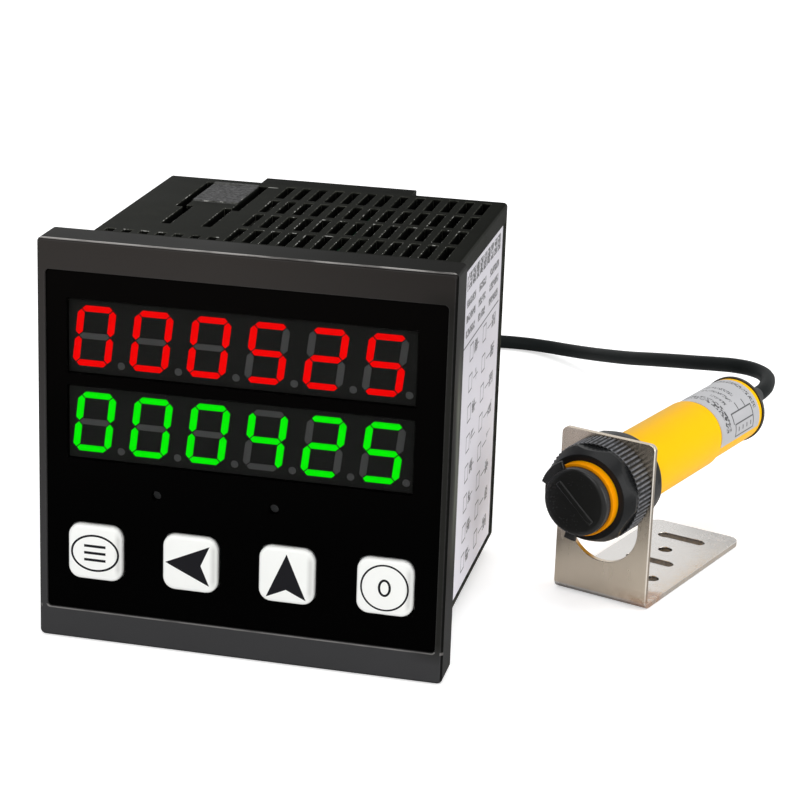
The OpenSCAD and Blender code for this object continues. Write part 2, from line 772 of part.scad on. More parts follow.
module board_connectors() color([0.08, 0.08, 0.08]) for (side = [-1, 1]) {
    face = side * (board_x - board_t / 2);
    edge = face - side * connector_t;
    block([min(face, edge), front_board_y + board_t, mid_z - connector_h / 2],
          [max(face, edge), upright_y + connector_t, mid_z + connector_h / 2]);
}

module transformer() color([0.35, 0.33, 0.30]) {
    face = -board_x - board_t / 2;
    far = -case_in_w / 2 + transformer_gap;
    y = upright_y + transformer_start;
    block([far, y, mid_z - transformer_h + core_step], [face, y + transformer_l, mid_z - core_step]);
    block([far + core_step, y + core_step, mid_z - transformer_h],
          [face - core_step, y + transformer_l - core_step, mid_z]);
}

module filter_capacitors() color([0.12, 0.13, 0.20]) for (i = [0:2]) {
    z = mid_z + case_in_h / 2 - rail_h - part_gap / 2 - capacitor_d / 2 - i * (capacitor_d + part_gap / 2);
    translate([-board_x - board_t / 2, upright_y + capacitor_start, z]) rotate([0, -90, 0]) {
        cylinder(d = capacitor_d, h = capacitor_l);
    }
}

module output_relays() color([0.10, 0.26, 0.25]) for (i = [0:1]) {
    low = [board_x + board_t / 2, upright_y + relay_start, mid_z + part_gap + i * (relay_h + part_gap)];
    block(low, low + [relay_rise, relay_l, relay_h]);
}

module control_chips() color([0.05, 0.05, 0.05]) {
    face = board_x - board_t / 2;
    y = upright_y + relay_start;
    // One large chip in the middle and two small ones
    block([face - chip_t, y, mid_z - chip_w / 2], [face, y + chip_w, mid_z + chip_w / 2]);
    for (side = [-1, 1]) {
        z = mid_z + side * (chip_w + part_gap);
        block([face - chip_t, y + chip_w, z - chip_w / 4],
              [face, y + 2 * chip_w, z + chip_w / 4]);
    }
}

// Terminals
function way_z(i) = mid_z + (i - (ways - 1) / 2) * way_pitch;

module terminal_block(side) color([0.06, 0.06, 0.06]) difference() {
    block([min(0, side * block_w), block_front_y, mid_z - block_h / 2],
          [max(0, side * block_w), block_back_y, mid_z + block_h / 2]);
    for (i = [0:ways - 1]) {
        x = side * block_w / 2;
        rod(x - side * screw_x, way_z(i), terminal_head_d + 0.4, block_back_y - well_depth,
            block_back_y + over);
        rod(x - side * screw_x, way_z(i), terminal_shank_d + 2 * close,
            block_back_y - well_depth - terminal_shank_l - close, block_back_y);
        translate([x + side * entry_x, 0, way_z(i)]) {
            block([-entry_w / 2, block_back_y - entry_depth, -entry_w / 2],
                  [entry_w / 2, block_back_y + over, entry_w / 2]);
        }
    }
    // Notches between the ways
    for (i = [0:ways - 2]) {
        z = (way_z(i) + way_z(i + 1)) / 2;
        block([min(0, side * block_w) - over, block_back_y - 1, z - 0.5],
              [max(0, side * block_w) + over, block_back_y + over, z + 0.5]);
    }
}
module left_terminal_block() translate([-close / 2, 0, 0]) terminal_block(-1);
module right_terminal_block() translate([close / 2, 0, 0]) terminal_block(1);

module terminal_screws() color([0.75, 0.75, 0.72]) for (side = [-1, 1], i = [0:ways - 1]) {
    x = side * (close / 2 + block_w / 2 - screw_x);
    seat = block_back_y - well_depth;
    difference() {
        union() {
            rod(x, way_z(i), terminal_head_d, seat, seat + terminal_head_t);
            rod(x, way_z(i), terminal_shank_d, seat - terminal_shank_l, seat + over);
        }
        block([x - terminal_head_d, seat + terminal_head_t - 0.7, way_z(i) - 0.4],
              [x + terminal_head_d, seat + terminal_head_t + over, way_z(i) + 0.4]);
    }
}

module terminal_clamps() color([0.78, 0.66, 0.36]) for (side = [-1, 1], i = [0:ways - 1]) {
    translate([side * (close / 2 + block_w / 2 + entry_x), 0, way_z(i)]) {
        block([-entry_w / 2 + close, block_back_y - entry_depth, -entry_w / 2 + close],
              [entry_w / 2 - close, core_end_y, entry_w / 2 - close]);
    }
}

// Sensor: its own axis runs along +Y here, from the front of the bracket's plate
module at_sensor() translate([sensor_x, sensor_y, 0]) rotate([0, 0, -sensor_yaw]) children();
module at_axis() at_sensor() translate([0, 0, axis_z]) children();
module ring(d, y_low, y_high) rod(0, 0, d, y_low, y_high);

module mounting_bracket() color([0.70, 0.68, 0.65]) at_sensor() difference() {
    union() {
        // Upright plate and base, each with two round corners, joined by the bend
        intersection() {
            translate([0, 0, bracket_h / 2 - plate_r]) upright(0, sheet_t) {
                round_rect(bracket_w, bracket_h + 2 * plate_r, plate_r);
            }
            block([-bracket_w, 0, sheet_t + bend_r], [bracket_w, sheet_t, bracket_h]);
        }
        intersection() {
            translate([0, base_l / 2 - base_r, 0]) linear_extrude(sheet_t) {
                round_rect(bracket_w, base_l + 2 * base_r, base_r);
            }
            block([-bracket_w, sheet_t + bend_r, 0], [bracket_w, base_l, sheet_t]);
        }
        translate([-bracket_w / 2, sheet_t + bend_r, sheet_t + bend_r]) {
            rotate([0, 90, 0]) intersection() {
                difference() {
                    cylinder(r = sheet_t + bend_r, h = bracket_w);
                    translate([0, 0, -over]) cylinder(r = bend_r, h = bracket_w + 2 * over);
                }
                translate([0, -sheet_t - bend_r, 0]) cube([sheet_t + bend_r, sheet_t + bend_r, bracket_w]);
            }
        }
    }
    rod(0, axis_z, slot_d, -over, sheet_t + over);
    rod(0, axis_z - bracket_travel, slot_d, -over, sheet_t + over);
    block([-slot_d / 2, -over, axis_z - bracket_travel], [slot_d / 2, sheet_t + over, axis_z]);
    for (x = [-1, 1]) fixing_hole(x * fixing_pair / 2, pair_y);
    fixing_slot(first_slot_y);
    fixing_hole(0, single_hole_y);
    fixing_slot(second_slot_y);
}

module fixing_hole(x, y) translate([x, y, -over]) cylinder(d = fixing_d, h = sheet_t + 2 * over);

module fixing_slot(y) {
    reach = (fixing_slot_l - fixing_d) / 2;
    fixing_hole(-reach, y);
    fixing_hole(reach, y);
    block([-reach, y - fixing_d / 2, -over], [reach, y + fixing_d / 2, sheet_t + over]);
}

module sensor_barrel() color([1.0, 0.76, 0.03]) at_axis() difference() {
    union() {
        ring(barrel_d, axis_front, rear_part_start - step_l);
        translate([0, rear_part_start - step_l, 0]) rotate([-90, 0, 0]) {
            cylinder(d1 = barrel_d, d2 = barrel_rear_d, h = step_l);
        }
        ring(barrel_rear_d, rear_part_start - over, barrel_back);
    }
    ring(barrel_bore, axis_front - over, barrel_back + over);
    ring(filter_d + 2 * close, axis_front - over, axis_front + filter_seat);
}

module lens_filter() color([0.03, 0.03, 0.03]) at_axis() {
    ring(filter_d, axis_front - filter_proud + 0.3, axis_front + filter_seat);
    translate([0, axis_front - filter_proud, 0]) rotate([-90, 0, 0]) {
        cylinder(d1 = filter_d - 0.8, d2 = filter_d, h = 0.3 + 0.01);
    }
}

module optics_divider() color([0.05, 0.05, 0.05]) at_axis() {
    block([-0.5, axis_front + filter_seat, -barrel_bore / 2 + 0.3],
          [0.5, axis_front + filter_seat + carrier_s, barrel_bore / 2 - 0.3]);
}

module infrared_diode(side) at_axis() {
    back = axis_front + filter_seat + carrier_s - 0.8;
    x = side * (barrel_bore / 4 + 0.1);
    rod(x, 0, 5, back - 5, back);
    rod(x, 0, 5.6, back - 0.2, back + 0.8);
    translate([x, back - 5, 0]) sphere(d = 5, $fn = 32);
}
module infrared_emitter() color([0.45, 0.45, 0.55]) infrared_diode(-1);
module infrared_receiver() color([0.10, 0.08, 0.12]) infrared_diode(1);

module sensor_board() color([0.10, 0.35, 0.20]) at_axis() {
    front = axis_front + filter_seat + carrier_s + 1.2;
    half_w = barrel_bore / 2 - 0.6;
    block([-half_w, front, -board_t / 2], [half_w, barrel_back - cap_plug_l - close, board_t / 2]);
    // Round carrier that the diodes stand on
    ring(barrel_bore - 0.4, front - 1.2, front);
}

// Nut outlines
function rib_outline() = [for (i = [0:2 * rib_count - 1])
    let (a = i * 180 / rib_count, r = nut_r - (i % 2) * rib_depth) [r * cos(a), r * sin(a)]];

// A nut's six flats, its chamfered end towards from
module nut_flats_part(from, to) intersection() {
    translate([0, min(from, to), 0]) rotate([-90, 0, 0]) {
        cylinder(d = nut_flats / cos(30), h = abs(to - from) + over, $fn = 6);
    }
    translate([0, from, 0]) rotate([from < to ? -90 : 90, 0, 0]) {
        cylinder(d1 = nut_flats - nut_chamfer, d2 = nut_flats - nut_chamfer + 20, h = 20);
    }
    ring(2 * nut_r - rib_depth, min(from, to) - over, max(from, to) + 2 * over);
}

module front_nut() color([0.10, 0.10, 0.11]) at_axis() difference() {
    union() {
        upright(-rib_l, rib_l) polygon(rib_outline());
        nut_flats_part(-front_nut_l, -rib_l);
    }
    ring(barrel_d + 2 * nut_fit, -front_nut_l - over, over);
}

module rear_nut() color([0.10, 0.10, 0.11]) at_axis() difference() {
    union() {
        ring(2 * nut_r, sheet_t, sheet_t + nut_flange_t);
        nut_flats_part(sheet_t + rear_nut_l, sheet_t + nut_flange_t - over);
    }
    ring(barrel_d + 2 * nut_fit, sheet_t - over, sheet_t + rear_nut_l + over);
}

module end_cap() color([0.07, 0.07, 0.07]) at_axis() difference() {
    union() {
        ring(cap_d, barrel_back, barrel_back + cap_t);
        ring(barrel_bore - 2 * close, barrel_back - cap_plug_l, barrel_back + over);
    }
    ring(cable_d + 2 * close, barrel_back - cap_plug_l - over, barrel_back + cap_t + over);
}

module strain_relief() color([0.08, 0.09, 0.09]) at_axis() difference() {
    start = barrel_back + cap_t;
    union() {
        ring(cable_d, barrel_back - cap_plug_l, start + over);
        ring(relief_d, start, start + 2);
        translate([0, start + 2, 0]) rotate([-90, 0, 0]) {
            cylinder(d1 = relief_d - 0.8, d2 = cable_d + 0.8, h = relief_l - 2);
        }
    }
    // Grooves that let it bend
    for (i = [1:2]) difference() {
        ring(relief_d + 1, start + 1.5 + i * 2, start + 2.2 + i * 2);
        ring(cable_d + 0.4, start, start + relief_l);
    }
}

module sensor_label() color([0.80, 0.80, 0.81]) at_axis() {
    translate([0, rear_part_start + label_gap, 0]) rotate([-90, 0, 0]) {
        rotate([0, 0, label_edge - sensor_label_angle]) rotate_extrude(angle = sensor_label_angle) {
            translate([barrel_rear_d / 2, 0]) square([label_skin, sensor_label_l]);
        }
    }
}

// Cable
function unit(v) = v / norm(v);
function curve_point(a, b, c, d, u) =
    0.5 * (2 * b + (c - a) * u + (2 * a - 5 * b + 4 * c - d) * u * u
        + (3 * b - a - 3 * c + d) * u * u * u);
function smooth(route, parts) =
    let (n = len(route))
    concat(
        [for (i = [0:n - 2], s = [0:parts - 1])
            curve_point(
                i == 0 ? 2 * route[0] - route[1] : route[i - 1], route[i], route[i + 1],
                i == n - 2 ? 2 * route[n - 1] - route[n - 2] : route[i + 2], s / parts)],
        [route[n - 1]]);
function heading(line, i) =
    unit(line[min(i + 1, len(line) - 1)] - line[max(i - 1, 0)]);
function ring_points(p, along, r) =
    let (side = unit(cross(along, [0, 0, 1])), up = cross(side, along))
    [for (k = [0:cable_sides - 1])
        let (a = 360 * k / cable_sides) p + r * (cos(a) * side + sin(a) * up)];

// A tube swept along a line of points
module tube(line, r) {
    n = len(line);
    m = cable_sides;
    polyhedron(
        points = [for (i = [0:n - 1]) each ring_points(line[i], heading(line, i), r)],
        faces = concat(
            [[for (k = [0:m - 1]) k]],
            [for (i = [0:n - 2], k = [0:m - 1])
                [i * m + k, (i + 1) * m + k, (i + 1) * m + (k + 1) % m, i * m + (k + 1) % m]],
            [[for (k = [0:m - 1]) n * m - 1 - k]]));
}

module sensor_cable() color([0.11, 0.12, 0.13]) {
    start = [sensor_x, sensor_y, axis_z]
        + (relief_end_s + close) * [sin(sensor_yaw), cos(sensor_yaw), 0];
    tube(concat([start], [for (i = [1:len(cable_route) - 1]) cable_route[i]]), cable_d / 2);
}

module cable_coil() color([0.11, 0.12, 0.13]) translate([coil_center[0], coil_center[1], coil_base]) {
    edge = cable_d / 3;
    rotate_extrude() translate([(coil_in + coil_out) / 2, coil_h / 2]) {
        round_rect(coil_out - coil_in, coil_h, edge);
    }
}

module cable_ties() color([0.92, 0.92, 0.90]) for (a = [60, 240]) {
    translate([coil_center[0], coil_center[1], 0]) rotate([0, 0, a]) {
        difference() {
            block([coil_in - tie_t - close, -tie_w / 2, 0],
                  [coil_out + tie_t + close, tie_w / 2, coil_base + coil_h + tie_t + close]);
            block([coil_in - close, -tie_w, coil_base], [coil_out + close, tie_w, coil_base + coil_h + close]);
        }
        block([coil_out + tie_t, -tie_w / 2 - 0.7, coil_base + coil_h / 2 - 2.5],
              [coil_out + tie_t + 3.4, tie_w / 2 + 0.7, coil_base + coil_h / 2 + 2.5]);
    }
}

module terminal_lead() color([0.11, 0.12, 0.13]) tube(lead_route, cable_d / 2);

// A core from the sheath's end into a terminal
module core(way, turn) {
    end = lead_route[len(lead_route) - 1];
    x = -(close / 2 + block_w / 2 + entry_x);
    from = end + [core_ring * sin(turn), -core_gap, core_ring * cos(turn)];
    to = [x, block_back_y, way_z(way)];
    tube(smooth([
        from, (from + to) / 2 + [0, core_lead / 2, 0], to + [0, core_lead, 0], to,
        [x, core_end_y, way_z(way)]], 2), core_d / 2);
}
module brown_core() color([0.35, 0.18, 0.08]) core(5, 0);
module blue_core() color([0.05, 0.20, 0.60]) core(4, 120);
module black_core() color([0.04, 0.04, 0.04]) core(3, 240);

front_bezel();
front_window();
face_plate();
upper_display();
lower_display();
red_segments();
green_segments();
dark_segments();
indicator_lamps();
front_board();
set_key();
shift_key();
up_key();
reset_key();
set_plunger();
shift_plunger();
up_plunger();
reset_plunger();
key_switches();
rear_case();
side_label();
power_board();
logic_board();
board_connectors();
transformer();
filter_capacitors();
output_relays();
control_chips();
left_terminal_block();
right_terminal_block();
terminal_screws();
terminal_clamps();
mounting_bracket();
sensor_barrel();
lens_filter();
optics_divider();
infrared_emitter();
infrared_receiver();
sensor_board();
front_nut();
rear_nut();
end_cap();
strain_relief();
sensor_label();
sensor_cable();
cable_coil();
cable_ties();
terminal_lead();
brown_core();
blue_core();
black_core();
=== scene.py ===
from math import cos, pi, radians, sin

import bmesh
import bpy
from mathutils import Matrix, Vector
from mathutils.bvhtree import BVHTree


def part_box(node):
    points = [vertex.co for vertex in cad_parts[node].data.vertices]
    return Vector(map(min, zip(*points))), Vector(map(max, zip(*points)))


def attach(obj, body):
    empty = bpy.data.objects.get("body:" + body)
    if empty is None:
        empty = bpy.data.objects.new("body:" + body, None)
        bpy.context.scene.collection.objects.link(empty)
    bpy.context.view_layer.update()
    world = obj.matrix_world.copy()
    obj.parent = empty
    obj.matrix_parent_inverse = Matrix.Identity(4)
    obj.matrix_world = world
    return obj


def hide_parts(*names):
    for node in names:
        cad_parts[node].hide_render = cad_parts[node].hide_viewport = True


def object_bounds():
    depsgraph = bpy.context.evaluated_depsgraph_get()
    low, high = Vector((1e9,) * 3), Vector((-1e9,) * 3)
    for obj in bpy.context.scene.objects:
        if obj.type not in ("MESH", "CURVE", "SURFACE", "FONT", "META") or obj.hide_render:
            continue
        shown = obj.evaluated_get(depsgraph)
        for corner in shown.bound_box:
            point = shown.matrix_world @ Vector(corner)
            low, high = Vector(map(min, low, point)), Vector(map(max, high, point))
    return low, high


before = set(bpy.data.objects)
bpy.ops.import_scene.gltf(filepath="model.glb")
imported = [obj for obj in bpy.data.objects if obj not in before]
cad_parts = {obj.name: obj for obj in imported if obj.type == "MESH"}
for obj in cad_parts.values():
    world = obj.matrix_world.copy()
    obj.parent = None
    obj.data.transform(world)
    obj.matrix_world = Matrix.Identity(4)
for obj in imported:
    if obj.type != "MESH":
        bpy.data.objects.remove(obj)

bl_info = {
    "name": "Infrared counter",
    "version": (1, 0, 0),
    "blender": (4, 5, 0),
    "location": "View3D > Sidebar > Counter",
    "description": "A panel counter with two rows of digits and an infrared sensor on a bracket",
    "category": "Object",
}

CAD_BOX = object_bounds()
HOUSING = "housing"
KEYS = ("set", "shift", "up", "reset")
MM = 0.001

# Camera: place, lens and picture width in millimetres, angles in degrees, reach in metres
CAMERA_PLACE = (139.81, -499.93, 231.75)
CAMERA_TURN, CAMERA_DROP, CAMERA_TILT = 13.845, 16.986, 1.482
CAMERA_LENS, CAMERA_WIDTH = 109.473, 36
CAMERA_SHIFT = (0.1, -0.0625)
CAMERA_REACH = (0.05, 50)

# Area lights: name, place and width in metres, power in watts
LIGHTS = (
    ("key_light", (-0.5, -0.95, 0.65), 0.8, 7.5),
    ("top_light", (0.15, 0.1, 1.1), 0.9, 4.5),
    ("side_light", (1.0, -0.1, 0.35), 0.8, 6),
)
FLOOR_HALF = 12
FLOOR_GAP = 0.0002

# The sensor's own axes: Y along the barrel, starting at the front of the bracket's plate
SENSOR_TURN = radians(-19.5)
SENSOR = Matrix.Translation((75 * MM, 55.6 * MM, 30 * MM)) @ Matrix.Rotation(SENSOR_TURN, 4, "Z")

# The cable's points in millimetres: from the sensor to the coil, and from the coil to the terminals
CABLE_ROUTE = [
    (104.4, 138.6, 30), (106.1, 144.5, 30), (106.6, 151.5, 29.9), (105.6, 159, 29.6),
    (101.8, 165.6, 29.1), (96.6, 170.6, 28.2), (91, 176.6, 26.4), (84.4, 184, 24),
    (77, 193.4, 21), (69, 204.2, 17.5), (61, 216.2, 13.6), (53, 228.2, 10),
    (45, 240.4, 6.5), (36.8, 250, 4), (29, 256, 2.7), (20.5, 258.6, 2.2),
    (12, 258, 2.2), (3, 255.6, 2.2), (-6, 251.5, 2.2), (-14, 245.5, 2.2),
    (-20, 237, 2.2), (-23.4, 227, 2.2), (-24.6, 216, 2.2), (-24.6, 204, 2.2),
    (-24.4, 192, 2.2), (-24.2, 180, 2.4), (-24.1, 167, 3), (-24.1, 158, 3.25),
]
LEAD_ROUTE = [
    (-24.1, 146, 11.7), (-24.1, 139, 12.2), (-23.8, 132.5, 14.4), (-23.2, 127, 18.4),
    (-22.2, 122.6, 23.8), (-21, 119.2, 30), (-19.6, 116, 36.4), (-18, 112.2, 42.2),
    (-16.2, 107.6, 47), (-14.4, 102.6, 50.6), (-13.5, 99, 51.8), (-13.4, 96, 52),
]
COIL_CENTRE = (1, 150)
# Radius and height of each turn; a turn has 18 points, and over its last 5 it moves to the next
COIL_TURNS = [(25.1, 3.3), (20.9, 3.3), (20.9, 7.5), (25.1, 7.5), (20.9, 11.7), (25.1, 11.7)]
COIL_STEPS, COIL_MOVE = 18, 5
CORES = ("brown_core", "blue_core", "black_core")

# Keys, in millimetres: half sizes from a key's middle, and planes along Y
KEY_HALF_WIDTH, KEY_HALF_HEIGHT, KEY_CORNER = 6.55, 6.7, 2.9
KEY_REAR = -2.0
KEY_FRONT_DEPTH = 1.6
# The crown's steps: how much the face shrinks, and its share of the rise
KEY_CROWN = ((0.93, 0.4), (0.8, 0.35), (0.6, 0.2), (0.35, 0.05))
FLANGE_HALF_HEIGHT, FLANGE_FRONT, FLANGE_REAR = 7.8, -2.05, -1.0
POST_FRONT, POST_RADIUS = -1.2, 2.5
BAR_PLACES, BAR_HALF_LENGTH, BAR_HALF_STROKE = (1.7, 0, -1.7), 2.6, 0.32
# A mark with fewer faces than this is cut finer, so that it follows the cap
FEW_FACES, FINE_CUTS, COARSE_CUTS = 10, 15, 3

# Side label, in millimetres: spans along the case, and heights from the floor or within a row
ROW_FOOT, ROW_PITCH, ROW_SPAN = 8.3, 7.6, (9.2, 68)
SQUARE_STARTS, SQUARE, SQUARE_FOOT, SQUARE_LINE = (37.5, 54), 4.3, 1.6, 0.35
DASH_START, DASH_END, DASH_ROW = 6, 11.4, (3.5, 3.8)
RULE, RULE_SPAN = (68.4, 68.8), (29, 74)
HEADING, HEADING_SPAN = (82.2, 86.2), (30.4, 73)
SIGN, SIGN_PITCH = 3.9, 4.6
LINE, LINE_PITCH, LINE_SPAN = (0.8, 2.7), 3.7, (69.8, 80.8)
LINE_COLUMNS = ((31, 42), (46, 55), (60, 72))
NOTE_ROW, NOTE_COLUMNS = (2.2, 5.4), ((43.2, 47), (65.5, 70.5))

# Sensor label: a row's span along the barrel in millimetres and round it in degrees, and its grain
SENSOR_ROWS = (
    (51, 53.8, 6, 128, 0.6), (55.4, 56.8, 52, 84, 0.42), (58.6, 60, 52, 112, 0.42),
    (61.8, 63.2, 60, 112, 0.42), (68.2, 69.8, 22, 112, 0.42),
)

# Turned pieces of the sensor: distance along the barrel and radius, in millimetres
BARREL_PROFILE = [
    (-13.3, 8.12), (-13.3, 8.75), (-13.22, 8.92), (-13.05, 9), (46.8, 9), (47.6, 8.5),
    (72.9, 8.5), (73.1, 8.42), (73.2, 8.25), (73.2, 7.5), (-11.7, 7.5), (-11.7, 8.12),
]
FILTER_PROFILE = [
    (-11.75, 0), (-11.75, 8.08), (-13.45, 8.08), (-13.5, 8.35), (-14.1, 8.4), (-15.3, 8.3),
    (-15.6, 8.1), (-15.8, 7.7), (-15.86, 7), (-15.95, 3), (-15.97, 0),
]
REAR_CAP_PROFILE = [
    (67.3, 2.15), (67.3, 7.48), (73.22, 7.48), (73.22, 8.8), (73.4, 8.9), (73.95, 8.9),
    (74.2, 8.6), (74.2, 2.15),
]
RELIEF_FOOT = [(67.3, 2.1), (74.2, 2.1), (74.2, 3.7), (74.4, 3.9), (75.9, 3.9), (76.2, 3.6)]
RELIEF_GROOVES = (77.6, 79.6, 81.6, 83.6)
RELIEF_TIP = [(87.4, 2.6), (87.85, 2.45), (88.0, 2.2), (88.0, 2.1), (87.9, 0.6), (67.4, 0.6)]

# The filter's ridge, and the tabs on its rim: angles about the axis, outer radius and step
RIDGE_LOW, RIDGE_HIGH, RIDGE_TURN, RIDGE_ROUND = (-6.4, -16.17, -0.9), (6.4, -15.2, 0.9), 42, 0.45
TABS, TAB_STEP = ((118, 164, 10.3), (252, 270, 10.3)), 4


def tone(code):
    """The linear red, green and blue of a colour that is written as on a web page."""
    parts = [int(code[i:i + 2], 16) / 255 for i in (0, 2, 4)]
    return tuple(p / 12.92 if p <= 0.04045 else ((p + 0.055) / 1.055) ** 2.4 for p in parts)


def length(name, about, default):
    return bpy.props.FloatProperty(
        name=name, description=about, default=default * MM, min=0, max=0.2,
        unit="LENGTH", precision=5)


def colour(name, about, code):
    return bpy.props.FloatVectorProperty(
        name=name, description=about, default=tone(code), min=0, max=1, size=3, subtype="COLOR")


class CounterSizes(bpy.types.PropertyGroup):
    bezel_round: length("Bezel edge", "Rounding of the bezel's edges", 0.3)
    case_round: length("Case edge", "Rounding of the case's edges", 0.14)
    window_round: length("Window edge", "Rounding of the window's edges", 0.12)
    key_round: length("Key rim", "Rounding of a key cap's front rim", 0.8)
    key_crown: length("Key crown", "Rise of a key cap from its rim to its middle", 0.12)
    mark_lift: length("Mark thickness", "Thickness of the print on the keys and labels", 0.02)
    bracket_round: length("Bracket edge", "Rounding of the bracket's punched edges", 0.14)
    rib_round: length("Nut edge", "Rounding of the nuts' ribs and corners", 0.12)
    cable_diameter: length("Cable", "Diameter of the cable", 4.2)
    tie_round: length("Tie edge", "Rounding of the cable ties", 0.35)


class CounterColours(bpy.types.PropertyGroup):
    bezel: colour("Bezel", "Moulded bezel", "3a3a3b")
    window: colour("Window", "Smoked window", "010101")
    face: colour("Face", "Plate behind the window", "060606")
    display: colour("Display", "Body of a display module", "2e2f2d")
    red: colour("Upper digits", "Lit strokes of the upper row", "fa0606")
    green: colour("Lower digits", "Lit strokes of the lower row", "06fa06")
    unlit: colour("Unlit strokes", "Strokes and points that are off", "707170")
    key: colour("Keys", "Moulded key caps", "f1f2ef")
    ink: colour("Ink", "Print on the keys and labels", "131317")
    case: colour("Case", "Moulded rear case", "1f201d")
    label: colour("Side label", "Printed side label", "c4c2ca")
    barrel: colour("Barrel", "Sensor barrel", "ffbe00")
    nickel: colour("Bracket", "Plated bracket", "c6baa9")
    cable: colour("Cable", "Sheath of the cable", "171a1a")


class Value:
    """A number that a material works out at each point of a surface."""

    def __init__(self, nodes, socket):
        self.nodes = nodes
        self.socket = socket

    def math(self, operation, *others, clamp=False):
        made = self.nodes.node("ShaderNodeMath", {"operation": operation, "use_clamp": clamp},
                               dict(enumerate((self,) + others)))
        return Value(self.nodes, made.outputs[0])

    def flipped(self, operation, other):
        made = self.nodes.node("ShaderNodeMath", {"operation": operation}, {0: other, 1: self})
        return Value(self.nodes, made.outputs[0])

    def __add__(self, other): return self.math("ADD", other)
    def __radd__(self, other): return self.math("ADD", other)
    def __sub__(self, other): return self.math("SUBTRACT", other)
    def __rsub__(self, other): return self.flipped("SUBTRACT", other)
    def __mul__(self, other): return self.math("MULTIPLY", other)
    def __rmul__(self, other): return self.math("MULTIPLY", other)
    def __truediv__(self, other): return self.math("DIVIDE", other)
    def __rtruediv__(self, other): return self.flipped("DIVIDE", other)
    def __mod__(self, other): return self.math("FLOORED_MODULO", other)
    def __rmod__(self, other): return self.flipped("FLOORED_MODULO", other)

    def above(self, edge, soft):
        """1 where the number is above edge, 0 below, with a ramp of width soft between."""
        return ((self - (edge - soft / 2)) / soft).math("ADD", 0, clamp=True)

    def between(self, low, high, soft):
        return self.above(low, soft) * (1 - self.above(high, soft))


def either(masks):
    """1 where any of several masks is 1."""
    whole = masks[0]
    for mask in masks[1:]:
        whole = whole.math("MAXIMUM", mask)
    return whole


def reach(a, b):
    """How far a point is from an axis, from its two distances across that axis."""
    return (a * a + b * b).math("SQRT")


class Nodes:
    """The nodes of a material or of the world. One method adds any of them."""

    def __init__(self, owner):
        owner.use_nodes = True
        self.tree = owner.node_tree
        self.tree.nodes.clear()

    def plug(self, socket, value):
        """Links a socket to what feeds it, or sets its number or colour."""
        if isinstance(value, Value):
            value = value.socket
        if isinstance(value, bpy.types.NodeSocket):
            self.tree.links.new(value, socket)
        else:
            socket.default_value = value

    def node(self, kind, settings, values):
        made = self.tree.nodes.new(kind)
        for key, setting in settings.items():
            setattr(made, key, setting)
        for key, value in values.items():
            self.plug(made.inputs[key], value)
        return made


class Finish(Nodes):
    """A material, with short names for the nodes that are used a lot."""

    def __init__(self, name, base, roughness=0.5, metallic=0.0, **constants):
        self.material = bpy.data.materials.new(name)
        super().__init__(self.material)
        self.base = base
        self.shader = self.node("ShaderNodeBsdfPrincipled", {}, {
            "Base Color": (*base, 1), "Roughness": roughness, "Metallic": metallic})
        self.set(**constants)
        self.node("ShaderNodeOutputMaterial", {}, {0: self.shader.outputs[0]})
        self.place = self.node("ShaderNodeTexCoord", {}, {}).outputs["Object"]

    def axes(self, vector=None):
        """X, Y and Z of the surface's point, in millimetres."""
        split = self.node("ShaderNodeSeparateXYZ", {}, {0: vector or self.place})
        return [Value(self, s) * 1000 for s in split.outputs]

    def sensor_axes(self):
        """The same along the sensor's own axes."""
        turned = self.node("ShaderNodeMapping", {"vector_type": "TEXTURE"}, {
            "Vector": self.place, "Location": tuple(SENSOR.translation),
            "Rotation": (0, 0, SENSOR_TURN)})
        return self.axes(turned.outputs[0])

    def noise(self, size, detail=3, stretch=(1, 1, 1)):
        """Noise from 0 to 1, with features of that size in millimetres."""
        vector = self.node("ShaderNodeVectorMath", {"operation": "MULTIPLY"}, {
            0: self.place, 1: tuple(1000 / size / s for s in stretch)}).outputs[0]
        made = self.node("ShaderNodeTexNoise", {}, {
            "Vector": vector, "Scale": 1.0, "Detail": detail, "Roughness": 0.55})
        return Value(self, made.outputs["Fac"])

    def cells(self, size):
        """How far a point is from the middle of its cell, with cells of that size in millimetres."""
        vector = self.node("ShaderNodeVectorMath", {"operation": "SCALE"}, {
            0: self.place, "Scale": 1000 / size}).outputs[0]
        made = self.node("ShaderNodeTexVoronoi", {}, {"Vector": vector, "Scale": 1.0})
        return Value(self, made.outputs["Distance"])

    def edge(self):
        """1 on the rounded edges, 0 elsewhere."""
        made = self.node("ShaderNodeAttribute", {"attribute_name": "edge"}, {})
        return Value(self, made.outputs["Fac"])

    def mix(self, share, first, second):
        """A colour that goes from first to second as share goes from 0 to 1."""
        made = self.node("ShaderNodeMix", {"data_type": "RGBA"}, {0: share})
        for index, shade in ((6, first), (7, second)):
            self.plug(made.inputs[index],
                      shade if isinstance(shade, bpy.types.NodeSocket) else (*shade, 1))
        return made.outputs[2]

    def over(self, tint, *layers):
        """A colour with others laid over it, each given as its share and its colour."""
        for share, shade in layers:
            tint = self.mix(share, tint, shade)
        return tint

    def shade(self, amount):
        """The base colour made lighter or darker."""
        return tuple(min(1, c * amount) for c in self.base)

    def set(self, **inputs):
        """Feeds the shader's sockets, written in lower case with underscores."""
        for key, value in inputs.items():
            name = "Specular IOR Level" if key == "specular" else key.replace("_", " ").title()
            self.plug(self.shader.inputs[name], value)

    def bump(self, height, depth):
        """Raises the surface by depth millimetres where height goes from 0 to 1."""
        made = self.node("ShaderNodeBump", {}, {
            "Height": height, "Distance": depth * MM, "Strength": 1.0})
        self.plug(self.shader.inputs["Normal"], made.outputs[0])


